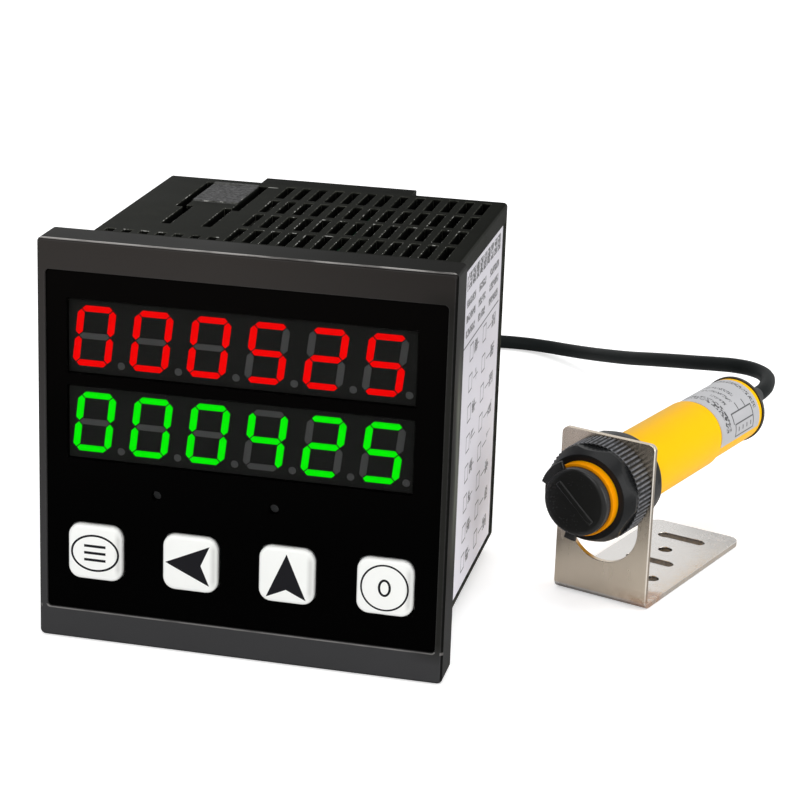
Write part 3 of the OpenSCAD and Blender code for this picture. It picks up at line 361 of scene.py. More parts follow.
def moulded(name, base, roughness, texture=0.35, depth=0.012, patch=14, swing=0.12, **constants):
    """Moulded plastic: a fine texture, slightly uneven gloss and faint patches."""
    made = Finish(name, base, roughness, **constants)
    fine, broad = made.noise(texture, 2), made.noise(patch)
    made.set(base_color=made.mix(broad, made.shade(1 - swing), made.shade(1 + swing)),
             roughness=roughness + (fine - 0.5) * 0.12 + (broad - 0.5) * 0.1)
    made.bump(fine, depth)
    return made


def metal(name, base, roughness, grain=(1, 1, 8), size=0.3, swing=0.1, depth=0.004):
    """Metal: fine lines along its grain, slightly uneven gloss and faint patches."""
    made = Finish(name, base, roughness, 1.0)
    lines, broad = made.noise(size, 3, grain), made.noise(9)
    made.set(base_color=made.mix(broad, made.shade(1 - swing), made.shade(1 + swing)),
             roughness=roughness + (lines - 0.5) * 0.2 + (broad - 0.5) * 0.12)
    made.bump(lines, depth)
    return made


def sizes():
    return bpy.context.scene.counter_sizes


def rgb(name):
    return tuple(getattr(bpy.context.scene.counter_colours, name))


def add_piece(name, form, finish, body=HOUSING, node=None, smooth=35, weighted=True):
    """Makes an object from a bmesh, puts it under its body's empty, and hides the CAD node it stands
    for.
    """
    mesh = bpy.data.meshes.new(name)
    form.normal_update()
    form.to_mesh(mesh)
    form.free()
    mesh.polygons.foreach_set("use_smooth", [True] * len(mesh.polygons))
    mesh.set_sharp_from_angle(angle=radians(smooth))
    mesh.materials.append(finish.material)
    made = bpy.data.objects.new(name, mesh)
    bpy.context.scene.collection.objects.link(made)
    if weighted:
        made.modifiers.new("Even shading", "WEIGHTED_NORMAL").keep_sharp = True
    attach(made, body)
    if node:
        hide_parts(node)
    return made


def welded(node, flat=0.6):
    """A copy of a CAD node's mesh with its loose triangles joined into flat faces."""
    form = bmesh.new()
    form.from_mesh(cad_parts[node].data)
    bmesh.ops.remove_doubles(form, verts=form.verts, dist=2e-6)
    bmesh.ops.dissolve_limit(form, angle_limit=radians(flat), verts=form.verts, edges=form.edges)
    return form


def bevel(form, edges, radius, segments):
    return bmesh.ops.bevel(form, geom=edges, offset=radius, offset_type="OFFSET", segments=segments,
                           profile=0.5, affect="EDGES", material=-1)


def round_edges(form, radius, segments=2, sharp=30):
    """Rounds the edges where two faces meet at more than sharp degrees, and marks them as edge."""
    mark = form.faces.layers.float.new("edge")
    edges = [e for e in form.edges
             if len(e.link_faces) == 2 and e.calc_face_angle(0) > radians(sharp)]
    if edges:
        for face in bevel(form, edges, radius, segments)["faces"]:
            face[mark] = 1
    return form


def rounded(name, node, finish, slot, *rounding):
    """Makes a piece from a CAD node's mesh with rounded edges, to stand in that node's place."""
    return add_piece(name, round_edges(welded(node), *rounding), finish, node=node)


def lathe(profile, steps=96, closed=True):
    """Turns (distance, radius) points in millimetres about the sensor's axis."""
    form = bmesh.new()
    points = [form.verts.new((r * MM, s * MM, 0)) for s, r in profile]
    pairs = zip(points, points[1:] + points[:1]) if closed else zip(points, points[1:])
    edges = [form.edges.new(pair) for pair in pairs]
    bmesh.ops.spin(form, geom=points + edges, cent=(0, 0, 0), axis=(0, 1, 0), angle=2 * pi,
                   steps=steps, use_merge=True)
    bmesh.ops.remove_doubles(form, verts=form.verts, dist=1e-7)
    bmesh.ops.recalc_face_normals(form, faces=form.faces)
    form.transform(SENSOR)
    return form


def slab(low, high):
    """A block between two corners, in millimetres."""
    form = bmesh.new()
    bmesh.ops.create_cube(form, size=1)
    size = [(b - a) * MM for a, b in zip(low, high)]
    middle = [(a + b) / 2 * MM for a, b in zip(low, high)]
    bmesh.ops.scale(form, vec=size, verts=form.verts)
    bmesh.ops.translate(form, vec=middle, verts=form.verts)
    return form


def join(forms):
    """One bmesh of several."""
    whole = forms[0]
    for extra in forms[1:]:
        shell = bpy.data.meshes.new("shell")
        extra.to_mesh(shell)
        extra.free()
        whole.from_mesh(shell)
        bpy.data.meshes.remove(shell)
    return whole


def coat(finish, *nodes):
    """Gives CAD nodes that stay as they are a material."""
    for node in nodes:
        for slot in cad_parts[node].material_slots:
            slot.material = finish.material


class Undoable:
    """What all the operators share"""
    bl_options = {"REGISTER", "UNDO"}


class COUNTER_OT_camera(Undoable, bpy.types.Operator):
    """Place the camera that looks down at the counter from its right"""
    bl_idname = "counter.camera"
    bl_label = "Camera"

    def execute(self, context):
        turn, drop, tilt = radians(CAMERA_TURN), radians(CAMERA_DROP), radians(CAMERA_TILT)
        ahead = Vector((-sin(turn) * cos(drop), cos(turn) * cos(drop), -sin(drop)))
        right = Vector((cos(turn), sin(turn), 0))
        up = right.cross(ahead)
        side = cos(tilt) * right + sin(tilt) * up
        top = -sin(tilt) * right + cos(tilt) * up
        lens = bpy.data.cameras.new("camera")
        lens.sensor_width = CAMERA_WIDTH
        lens.lens = CAMERA_LENS
        lens.shift_x, lens.shift_y = CAMERA_SHIFT
        lens.clip_start, lens.clip_end = CAMERA_REACH
        camera = bpy.data.objects.new("camera", lens)
        place = Matrix.Translation([c * MM for c in CAMERA_PLACE])
        camera.matrix_world = place @ Matrix((side, top, -ahead)).transposed().to_4x4()
        context.scene.collection.objects.link(camera)
        context.scene.camera = camera
        return {"FINISHED"}


class COUNTER_OT_cable(Undoable, bpy.types.Operator):
    """Lay the cable from the sensor through its coil to the terminals"""
    bl_idname = "counter.cable"
    bl_label = "Cable and ties"

    def execute(self, context):
        route = [Vector(p) for p in CABLE_ROUTE + self.coil() + LEAD_ROUTE]
        line = bpy.data.curves.new("cable", "CURVE")
        line.dimensions = "3D"
        line.resolution_u = 4
        line.bevel_depth = sizes().cable_diameter / 2
        line.bevel_resolution = 5
        line.use_fill_caps = True
        line.twist_mode = "MINIMUM"
        spline = line.splines.new("BEZIER")
        spline.bezier_points.add(len(route) - 1)
        for point, place in zip(spline.bezier_points, route):
            point.co = place * MM
            point.handle_left_type = point.handle_right_type = "AUTO"
        sheath = moulded("cable_sheath", rgb("cable"), 0.46, 0.25, 0.008, 9, 0.2, specular=0.03)
        line.materials.append(sheath.material)
        cable = bpy.data.objects.new("cable", line)
        context.scene.collection.objects.link(cable)
        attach(cable, HOUSING)
        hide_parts("sensor_cable", "cable_coil", "terminal_lead")
        nylon = moulded("tie_nylon", tone("e6e6e0"), 0.4, 0.6, 0.01)
        straps = rounded("ties", "cable_ties", nylon, "tie_plastic", sizes().tie_round, 3)
        for node, code in zip(CORES, ("5a2f14", "1a4a9c", "151515")):
            coat(moulded(node, tone(code), 0.38, 0.5, 0.006), node)
        return {"FINISHED"}

    def coil(self):
        """Six turns side by side and on each other; each eases into the next at its end."""
        points = []
        for turn, (radius, level) in enumerate(COIL_TURNS):
            next_radius, next_level = COIL_TURNS[min(turn + 1, len(COIL_TURNS) - 1)]
            for step in range(COIL_STEPS):
                share = max(0, (step - COIL_STEPS + COIL_MOVE) / COIL_MOVE)
                share = share * share * (3 - 2 * share)
                angle = pi + 2 * pi * step / COIL_STEPS
                out = radius + (next_radius - radius) * share
                points.append((COIL_CENTRE[0] + out * cos(angle), COIL_CENTRE[1] + out * sin(angle),
                               level + (next_level - level) * share))
        points.append((COIL_CENTRE[0] - COIL_TURNS[-1][0], COIL_CENTRE[1], COIL_TURNS[-1][1]))
        return points


class COUNTER_OT_bezel(Undoable, bpy.types.Operator):
    """Round the bezel's edges and give it satin plastic"""
    bl_idname = "counter.bezel"
    bl_label = "Bezel"

    def execute(self, context):
        gloss, patch = 0.42, 22
        made = moulded("bezel_plastic", rgb("bezel"), gloss, 0.22, 0.008, patch, 0.05, specular=0.015)
        x, y, z = made.axes()
        broad, edge = made.noise(patch), made.edge()
        # Masks for painted shade: towards the right, and on the top in the upper right corner
        right = x.above(20, 50)
        corner = right * z.above(95.6, 0.3)
        # A painted glare, in upright streaks down the right side
        painted_glare_streaks = x.above(47.8, 0.2) * y.above(-0.5, 3) * z.between(32, 72, 16)
        painted_glare_streaks = painted_glare_streaks * made.noise(2.5, 3, (1, 1, 14)).above(0.42, 0.3)
        # Edges lightened both as wear and as a painted highlight
        wear_and_highlight = edge * made.noise(1.2, 3, (8, 1, 1)).above(0.4, 0.3)
        front = 1 - y.above(-4.3, 0.2)
        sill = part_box("front_window")[0].z / MM
        # A painted highlight along the top front edge and along the sill below the window
        rim = either([wear_and_highlight * front * z.above(95.74, 0.1),
                      wear_and_highlight * z.between(sill - 0.3, sill + 0.4, 0.1) * 0.4])
        tint = made.over(
            made.mix(broad, made.shade(0.97), made.shade(1.06)),
            # Browner towards the top; painted shade right of the window and in the upper right corner
            (z.above(52, 90), tone("322f2d")),
            (x.above(42, 5) * z.between(7, 90, 5), tone("242422")),
            (right * z.above(84, 8) * 0.5, tone("1d1b1a")),
            (corner * 0.85, tone("0c0c0b")),
            # Painted shade on the faces behind the front, and a painted glare in upright streaks on
            # the right side
            (y.above(-4.4, 0.3), tone("232322")),
            (painted_glare_streaks, tone("565851")),
            # Edges lightened as wear and as a painted highlight, a painted highlight along the top
            # and below the window, and painted shade down the right edge
            (wear_and_highlight * 0.12, made.shade(2)),
            (edge * front * x.above(47.6, 0.1) * 0.9, tone("0c0c0b")),
            (rim * 0.9, tone("b0adaa")))
        made.set(base_color=tint, roughness=gloss + (broad - 0.5) * 0.1 + corner * 0.45)
        rounded("bezel", "front_bezel", made, "bezel_plastic", sizes().bezel_round, 3)
        return {"FINISHED"}


class COUNTER_OT_window(Undoable, bpy.types.Operator):
    """Fit the smoked window"""
    bl_idname = "counter.window"
    bl_label = "Window"

    def execute(self, context):
        made = Finish("window_smoke", rgb("window"), 0.16, specular=0.01)
        x, _, z = made.axes()
        haze = made.noise(40, 2, (3, 1, 1))
        # A painted reflection: the smoke is lighter towards the top, in hazy bands
        painted_reflection = z.above(66, 70) * haze
        low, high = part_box("indicator_lamps")
        across, level = (high.z - low.z) / MM, (low.z + high.z) / 2 / MM
        clear = either(
            [self.pane(x, z, node) for node in ("upper_display", "lower_display")]
            + [1 - reach(x - place, z - level).above(1.15, 0.2)
               for place in (low.x / MM + across / 2, high.x / MM - across / 2)])
        made.set(base_color=made.mix(painted_reflection, rgb("window"), tone("0c0a09")),
                 roughness=0.14 + haze * 0.1, alpha=1 - clear * 0.72)
        rounded("window", "front_window", made, "window_plastic", sizes().window_round, 2)
        return {"FINISHED"}

    def pane(self, x, z, node):
        """1 in front of a node, where the window's black print leaves it clear."""
        low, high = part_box(node)
        return x.between(low.x / MM, high.x / MM, 0.3) * z.between(low.z / MM, high.z / MM, 0.3)


class COUNTER_OT_digits(Undoable, bpy.types.Operator):
    """Light the two rows of digits behind the window"""
    bl_idname = "counter.digits"
    bl_label = "Digits and lamps"

    def execute(self, context):
        coat(moulded("face_plastic", rgb("face"), 0.7, 0.3, 0.01, specular=0.05),
             "face_plate")
        coat(moulded("display_plastic", rgb("display"), 0.62, 0.25, 0.01, 18, 0.1,
                     specular=0.1), "upper_display", "lower_display")
        coat(moulded("unlit_stroke", rgb("unlit"), 0.5, 0.3, 0.01, 6, 0.08,
                     specular=0.1), "dark_segments")
        coat(moulded("unlit_lamp", tone("505052"), 0.35, 0.3, 0.006), "indicator_lamps")
        for name in ("red", "green"):
            lit = Finish(name + "_light", rgb(name), 0.5, specular=0.02)
            grain = lit.noise(1.6)
            lit.set(emission_color=lit.mix(grain.above(0.45, 0.5), lit.shade(0.78), rgb(name)),
                    roughness=0.45 + grain * 0.1, emission_strength=1.25)
            lit.bump(grain, 0.01)
            coat(lit, name + "_segments")
        return {"FINISHED"}


class COUNTER_OT_keys(Undoable, bpy.types.Operator):
    """Mould the four push keys and print their marks"""
    bl_idname = "counter.keys"
    bl_label = "Keys"

    def execute(self, context):
        white = self.white()
        ink = moulded("key_ink", rgb("ink"), 0.45, 0.2, 0.004, 5, 0.06, specular=0.1)
        for name in KEYS:
            low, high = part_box(name + "_key")
            middle = ((low.x + high.x) / 2 / MM, (low.z + high.z) / 2 / MM)
            front, rear = low.y / MM, high.y / MM
            body = name + "_button"
            cap = self.cap(middle, front)
            skin = BVHTree.FromBMesh(cap)
            add_piece(name + "_cap", join([cap, self.stem(middle, rear)]), white,
                      body, name + "_key", smooth=50)
            mark = getattr(self, name + "_mark")()
            self.lay(mark, skin, middle, front)
            add_piece(name + "_mark", mark, ink, body, weighted=False)
        dark = moulded("switch_plastic", tone("2a2a2e"), 0.5)
        coat(dark, "key_switches", *[name + "_plunger" for name in KEYS])
        return {"FINISHED"}

    def white(self):
        """White plastic, dusty, with painted shade round the rim and on the bevel at the right."""
        made = moulded("key_plastic", rgb("key"), 0.34, 0.3, 0.006, 7, 0.03)
        x, y, z = made.axes()
        boxes = [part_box(name + "_key") for name in KEYS]
        level = (boxes[0][0].z + boxes[0][1].z) / 2 / MM
        # Painted shade on the cap's sides, except along its top
        rim = y.above(-4.95, 0.5) * (1 - z.above(level + 5.7, 0.6))
        dust = made.noise(0.9).above(0.62, 0.12) * y.above(-4.9, 0.5)
        # Painted shade on each cap's bevel at the right
        shaded_bevels = either([x.between(high.x / MM - 1.5, high.x / MM - 0.35, 0.9)
                         * z.between(level - 4.6, level + 5, 2) for _, high in boxes])
        made.set(base_color=made.over(
            rgb("key"), (dust * 0.5, tone("c9c8c2")), (rim * 0.45, tone("8d8d8b")),
            (shaded_bevels * 0.5, tone("a9a9a7"))))
        return made

    def block(self, middle, half_height, front, rear, segments):
        """A block round a key's middle with rounded corners, seen from the front."""
        form = slab((middle[0] - KEY_HALF_WIDTH, front, middle[1] - half_height),
                    (middle[0] + KEY_HALF_WIDTH, rear, middle[1] + half_height))
        corners = [e for e in form.edges if abs((e.verts[0].co - e.verts[1].co).y) > 1e-5]
        bevel(form, corners, KEY_CORNER * MM, segments)
        return form

    def front_face(self, form):
        return max(form.faces, key=lambda f: -f.calc_center_median().y)

    def cap(self, middle, front):
        """The key's cap, with a round rim and a low crown that stays behind the CAD's front."""
        form = self.block(middle, KEY_HALF_HEIGHT, front, KEY_REAR, 8)
        bevel(form, list(self.front_face(form).edges), sizes().key_round, 5)
        centre = Vector((middle[0] * MM, 0, middle[1] * MM))
        for size, rise in KEY_CROWN:
            face = self.front_face(form)
            face = bmesh.ops.extrude_discrete_faces(form, faces=[face])["faces"][0]
            bmesh.ops.scale(form, vec=(size, 1, size), verts=face.verts,
                            space=Matrix.Translation(-centre))
            bmesh.ops.translate(form, vec=(0, -rise * sizes().key_crown, 0), verts=face.verts)
        drop = front * MM - min(v.co.y for v in form.verts)
        for v in form.verts:
            if v.co.y < (front + KEY_FRONT_DEPTH) * MM:
                v.co.y += drop
        return form

    def stem(self, middle, rear):
        """The flange that keeps the key in, and the post that pushes its switch."""
        flange = self.block(middle, FLANGE_HALF_HEIGHT, FLANGE_FRONT, FLANGE_REAR, 6)
        post = bmesh.new()
        bmesh.ops.create_cone(post, cap_ends=True, segments=32, radius1=POST_RADIUS * MM,
                              radius2=POST_RADIUS * MM, depth=(rear - POST_FRONT) * MM)
        place = [c * MM for c in (middle[0], (rear + POST_FRONT) / 2, middle[1])]
        post.transform(Matrix.Translation(place) @ Matrix.Rotation(radians(90), 4, "X"))
        return join([flange, post])

    def flat(self, points):
        """A flat outline in the key's plane."""
        form = bmesh.new()
        form.faces.new([form.verts.new((x * MM, 0, z * MM)) for x, z in points])
        return form

    def ring(self, across, tall, stroke, steps=96):
        """A round or oval line in the key's plane."""
        form = bmesh.new()
        edges = []
        for less in (0, stroke):
            made = bmesh.ops.create_circle(form, segments=steps, radius=MM)
            bmesh.ops.scale(form, vec=(across / 2 - less, tall / 2 - less, 1), verts=made["verts"])
            edges += list({e for v in made["verts"] for e in v.link_edges})
        bmesh.ops.bridge_loops(form, edges=edges)
        form.transform(Matrix.Rotation(radians(90), 4, "X"))
        return form

    def set_mark(self):
        bars = []
        for z in BAR_PLACES:
            low, high = z - BAR_HALF_STROKE, z + BAR_HALF_STROKE
            bars.append(self.flat([(-BAR_HALF_LENGTH, low), (BAR_HALF_LENGTH, low),
                                   (BAR_HALF_LENGTH, high), (-BAR_HALF_LENGTH, high)]))
        return join([self.ring(11.7, 9.1, 0.5)] + bars)

    def shift_mark(self):
        tip, notch, upper, lower = (-5.85, 0), (2.6, 0), (4.7, 4.85), (4.7, -4.85)
        return join([self.flat([tip, notch, upper]), self.flat([tip, lower, notch])])

    def up_mark(self):
        tip, notch, left, right = (0, 5.3), (0, -3.3), (-4.7, -5.5), (4.7, -5.5)
        return join([self.flat([tip, left, notch]), self.flat([tip, notch, right])])

    def reset_mark(self):
        return join([self.ring(11.2, 11.2, 0.42), self.ring(3.0, 4.2, 0.55, 48)])

    def lay(self, mark, skin, middle, front):
        """Bends a mark onto the cap's front and gives it the thickness of print."""
        bmesh.ops.triangulate(mark, faces=[f for f in mark.faces if len(f.verts) > 4])
        cuts = FINE_CUTS if len(mark.faces) < FEW_FACES else COARSE_CUTS
        bmesh.ops.subdivide_edges(mark, edges=mark.edges, cuts=cuts, use_grid_fill=True)
        mark.normal_update()
        back = [f for f in mark.faces if f.normal.y > 0]
        if back:
            bmesh.ops.reverse_faces(mark, faces=back)
        for v in mark.verts:
            start = Vector((v.co.x + middle[0] * MM, (front - 5) * MM, v.co.z + middle[1] * MM))
            hit = skin.ray_cast(start, Vector((0, 1, 0)))[0]
            if hit is None:
                raise RuntimeError("a key mark reaches past its cap")
            v.co = hit - Vector((0, sizes().mark_lift, 0))


class COUNTER_OT_case(Undoable, bpy.types.Operator):
    """Round the rear case's edges and give it fine-textured plastic"""
    bl_idname = "counter.case"
    bl_label = "Rear case"

    def execute(self, context):
        gloss, patch, ridge = 0.5, 20, 0.5
        made = moulded("case_plastic", rgb("case"), gloss, 0.28, 0.02, patch, 0.12, specular=0.012)
        x, y, z = made.axes()
        edge = made.edge()
        # The case's highest point is the ridge of the thumb pad, half a millimetre over the top
        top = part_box("rear_case")[1].z / MM - ridge
        pad = x.between(-30.4, -18.6, 0.2) * y.between(55, 75.5, 0.2) * z.above(92, 0.3)
        made.bump(made.noise(0.28, 2) * 0.25 + (1 - made.cells(0.62)) * pad, 0.09)
        # Painted shade: the top darkens towards the right
        right = x.above(-5, 100) * z.above(top - 0.3, 0.1)
        scuffs = made.noise(6, 5).above(0.58, 0.12) * made.noise(0.5, 2)
        # Painted shade inside the slots
        slot_shade = (z.between(top - 3, top - 0.4, 0.3) * x.between(-42.6, 42.6, 0.5)
                  * y.between(8, 78, 0.5))
        flecks = made.noise(0.5, 3, (1.6, 0.7, 1)).above(0.5, 0.25)
        # Edges lightened both as wear and as a painted highlight
        wear_and_highlight = edge * made.noise(2).above(0.46, 0.2)
        # Painted glints on the slots' edges, and a painted highlight line behind the pad
        painted_glints = (edge * made.noise(1.4, 2).above(0.6, 0.06) * y.between(10, 62, 1)
                  * z.above(top - 0.3, 0.1))
        painted_line = x.between(-31, -14, 0.5) * y.between(75.2, 75.8, 0.1) * z.above(top - 0.8, 0.1)
        painted_glints = either([painted_glints, painted_line * made.noise(3, 2).above(0.25, 0.3)])
        tint = made.over(
            rgb("case"),
            # Scuffs, then painted shade towards the right, the rear and the hood, and in the slots
            (scuffs * 0.5, tone("2c2d28")),
            (right * 0.65, tone("0c0d0a")),
            (y.above(60, 50) * 0.45, tone("10110e")),
            (y.above(79.6, 1) * 0.85, tone("131412")),
            (slot_shade * 0.85, tone("040404")),
            (pad, made.mix(flecks, tone("333332"), tone("5f5f60"))),
            # Edges lightened as wear and as a painted highlight, painted glints on the slots' edges,
            # and a painted highlight line behind the pad
            (wear_and_highlight * 0.5, tone("55564f")),
            (painted_glints * 0.8, tone("a4a4a0")))
        made.set(base_color=tint,
                 roughness=gloss + (made.noise(patch) - 0.5) * 0.1 + right * 0.25)
        rounded("case", "rear_case", made, "case_plastic", sizes().case_round, 2)
        return {"FINISHED"}


class COUNTER_OT_side_label(Undoable, bpy.types.Operator):
    """Print the label on the case's right side"""
    bl_idname = "counter.side_label"
    bl_label = "Side label"

    def execute(self, context):
        made = moulded("label_film", rgb("label"), 0.4, 0.3, 0.004, 12, 0.03)
        _, y, z = made.axes()
        soft, sharp = 0.08, 0.01
        low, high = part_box("side_label")
        marks = made.noise(0.6, 1, (1, 1.2, 1)).above(0.43, 0.06)
        # The lower part: rows of empty squares, each with a dash and a few of them with marks
        rows = (z - ROW_FOOT) % ROW_PITCH
        span = z.between(*ROW_SPAN, sharp)
        ink = []
        for start in SQUARE_STARTS:
            line = (self.square(y, rows, start, 0, soft)
                    - self.square(y, rows, start, SQUARE_LINE, soft))
            dash = (y.between(start + DASH_START, start + DASH_END, soft)
                    * rows.between(*DASH_ROW, soft))
            ink += [line * span, dash * span]
        notes = rows.between(*NOTE_ROW, soft) * self.columns(y, NOTE_COLUMNS, soft) * span * marks
        ink.append(notes * made.noise(9, 1).above(0.45, 0.04) * 0.85)
        # The upper part: a rule, lines of marks in three columns and a row of large signs
        ink.append(z.between(*RULE, soft) * y.between(*RULE_SPAN, soft))
        lines = ((z - LINE_SPAN[0]) % LINE_PITCH).between(*LINE, soft) * z.between(*LINE_SPAN, sharp)
        ink.append(lines * self.columns(y, LINE_COLUMNS, soft) * marks * 0.9)
        heading = z.between(*HEADING, soft) * y.between(*HEADING_SPAN, soft)
        ink.append(heading * marks * (1 - (y % SIGN_PITCH).between(SIGN, SIGN_PITCH, soft)))
        ink.append((1 - y.between(low.y / MM + 0.3, high.y / MM - 0.3, 0.1)) * 0.2)
        # Painted light: the film is paler towards its foot, most at the rear
        film = made.mix(made.noise(14), made.shade(0.95), made.shade(1.04))
        foot = (1 - z.above(40, 60)) * (0.6 + y.above(50, 40) * 0.4)
        film = made.mix(foot, film, made.shade(1.7))
        made.set(base_color=made.mix(either(ink), film, rgb("ink")))
        rounded("side_label_film", "side_label", made, "label_film", 0.04 * MM, 1)
        return {"FINISHED"}

    def square(self, y, rows, start, less, soft):
        """A filled square in each row, smaller by less on each side."""
        return (y.between(start + less, start + SQUARE - less, soft)
                * rows.between(SQUARE_FOOT + less, SQUARE_FOOT + SQUARE - less, soft))

    def columns(self, y, spans, soft):
        return either([y.between(start, end, soft) for start, end in spans])


class COUNTER_OT_works(Undoable, bpy.types.Operator):
    """Finish the boards and parts inside the case"""
    bl_idname = "counter.works"
    bl_label = "Boards and parts"

    def execute(self, context):
        board = moulded("board", tone("10301f"), 0.35, 0.8, 0.006, 6, 0.2, specular=0.2)
        tracks = board.cells(2.4).above(0.55, 0.06)
        board.set(base_color=board.mix(tracks, board.base, tone("1c4a30")))
        coat(board, "front_board", "power_board", "logic_board", "sensor_board")
        coat(moulded("connector_plastic", tone("1b1b1b"), 0.5), "board_connectors")
        steel = metal("transformer_steel", tone("6d675f"), 0.45, (1, 8, 1), 0.5)
        steel.bump((steel.axes()[1] % 0.5).between(0.1, 0.4, 0.1), 0.03)
        coat(steel, "transformer")
        coat(moulded("capacitor_sleeve", tone("202538"), 0.35, 0.4, 0.004), "filter_capacitors")
        coat(moulded("relay_plastic", tone("1c4a48"), 0.3, 0.5, 0.006), "output_relays")
        coat(moulded("chip_plastic", tone("141414"), 0.6, 0.2, 0.01),
             "control_chips", "optics_divider")
        coat(Finish("diode_clear", tone("8080a0"), 0.08), "infrared_emitter")
        coat(Finish("diode_dark", tone("1e1822"), 0.1), "infrared_receiver")
        return {"FINISHED"}


class COUNTER_OT_terminals(Undoable, bpy.types.Operator):
    """Finish the two terminal blocks with their screws and clamps"""
    bl_idname = "counter.terminals"
    bl_label = "Terminals"

    def execute(self, context):
        black = moulded("terminal_plastic", tone("1c1c1c"), 0.42, 0.3, 0.012)
        for node in ("left_terminal_block", "right_terminal_block"):
            rounded(node + "_body", node, black, "terminal_plastic", 0.18 * MM, 2)
        zinc = metal("screw_zinc", tone("c4c4bf"), 0.3)
        rounded("terminal_screw_heads", "terminal_screws", zinc, "screw_steel", 0.1 * MM, 2)
        coat(metal("clamp_brass", tone("c9ab62"), 0.3), "terminal_clamps")
        return {"FINISHED"}


class COUNTER_OT_bracket(Undoable, bpy.types.Operator):
    """Finish the punched and plated bracket"""
    bl_idname = "counter.bracket"
    bl_label = "Bracket"

    def execute(self, context):
        made = metal("nickel_plate", rgb("nickel"), 0.24, (1, 1, 6), 1.5, 0.06, 0.0012)
        x, y, z = made.sensor_axes()
        cloud, cut = made.noise(9).above(0.5, 0.7), made.noise(0.5, 3, (1, 1, 3))
        upright, wall = z.above(-28.4, 0.4), z.between(-29.9, -28.66, 0.1)
        # Painted shade on the walls of the holes
        hole_shade = wall * x.between(-12.2, 12.2, 0.1) * y.between(3, 55.6, 0.1)
        side = x.above(12.42, 0.06) * upright
        # A painted highlight on the upright's front right edge
        edge_highlight = x.above(12.33, 0.08) * (1 - y.above(0.4, 0.1)) * upright
        low = 1 - z.above(-26.5, 3)
        stain = low * (y - made.noise(3) * 3).between(-3, 8, 3) * x.above(6, 10)
        stain = stain * made.noise(2.5, 4).above(0.42, 0.25)
        plate = made.over(
            made.mix(cloud, made.shade(0.97), made.shade(1.05)),
            # Painted light: the upright is paler towards its foot, and a painted reflection makes the
            # foot's top nearly white
            ((1 - z.above(-18, 16)) * 0.6, made.shade(1.25)),
            (1 - z.above(-28.2, 0.6), made.mix(cloud, tone("d6d3cf"), tone("dedbd8"))),
            # Cut faces are darker, painted shade darkens them most in the holes, and a painted
            # highlight lies on the front right edge
            (side * (0.65 + cut * 0.3), tone("6d655c")),
            (edge_highlight * 0.8, tone("fbf4ea")),
            (wall * (0.35 + cut * 0.3), tone("7d756b")),
            (hole_shade * (0.3 + cut * 0.4), tone("4d453c")),
            # A rusty stain in the bend, at the right
            (stain * 0.6, tone("9a6534")))
        made.set(base_color=plate, metallic=1 - stain * 0.4)
        rounded("bracket", "mounting_bracket", made, "bracket_steel", sizes().bracket_round, 2, 40)
        return {"FINISHED"}


class COUNTER_OT_nuts(Undoable, bpy.types.Operator):
    """Round the ribs and flats of the two nuts"""
    bl_idname = "counter.nuts"
    bl_label = "Nuts"

    def execute(self, context):
        made = moulded("nut_plastic", tone("1a1b1c"), 0.3, 0.25, 0.008, 8, 0.15, specular=0.12)
        x, y, z = made.sensor_axes()
        out = reach(x, z)
        # Painted shade in the valleys between the ribs, and painted highlights on their crests
        valley_shade = (1 - out.above(12, 0.2)) * y.between(-6.4, 0, 0.1) * out.above(11, 0.2)
        crest_highlights = out.above(12.2, 0.1) * y.between(-6.6, 0.2, 0.1) * made.noise(1.5).above(0.4, 0.3)
        made.set(base_color=made.over(
            made.shade(0.9), (valley_shade, tone("060606")), (crest_highlights * 0.75, tone("7c7d82"))))
        for name, node in (("clamp_nut_front", "front_nut"), ("clamp_nut_rear", "rear_nut")):
            rounded(name, node, made, "nut_plastic", sizes().rib_round, 2, 24)
        return {"FINISHED"}


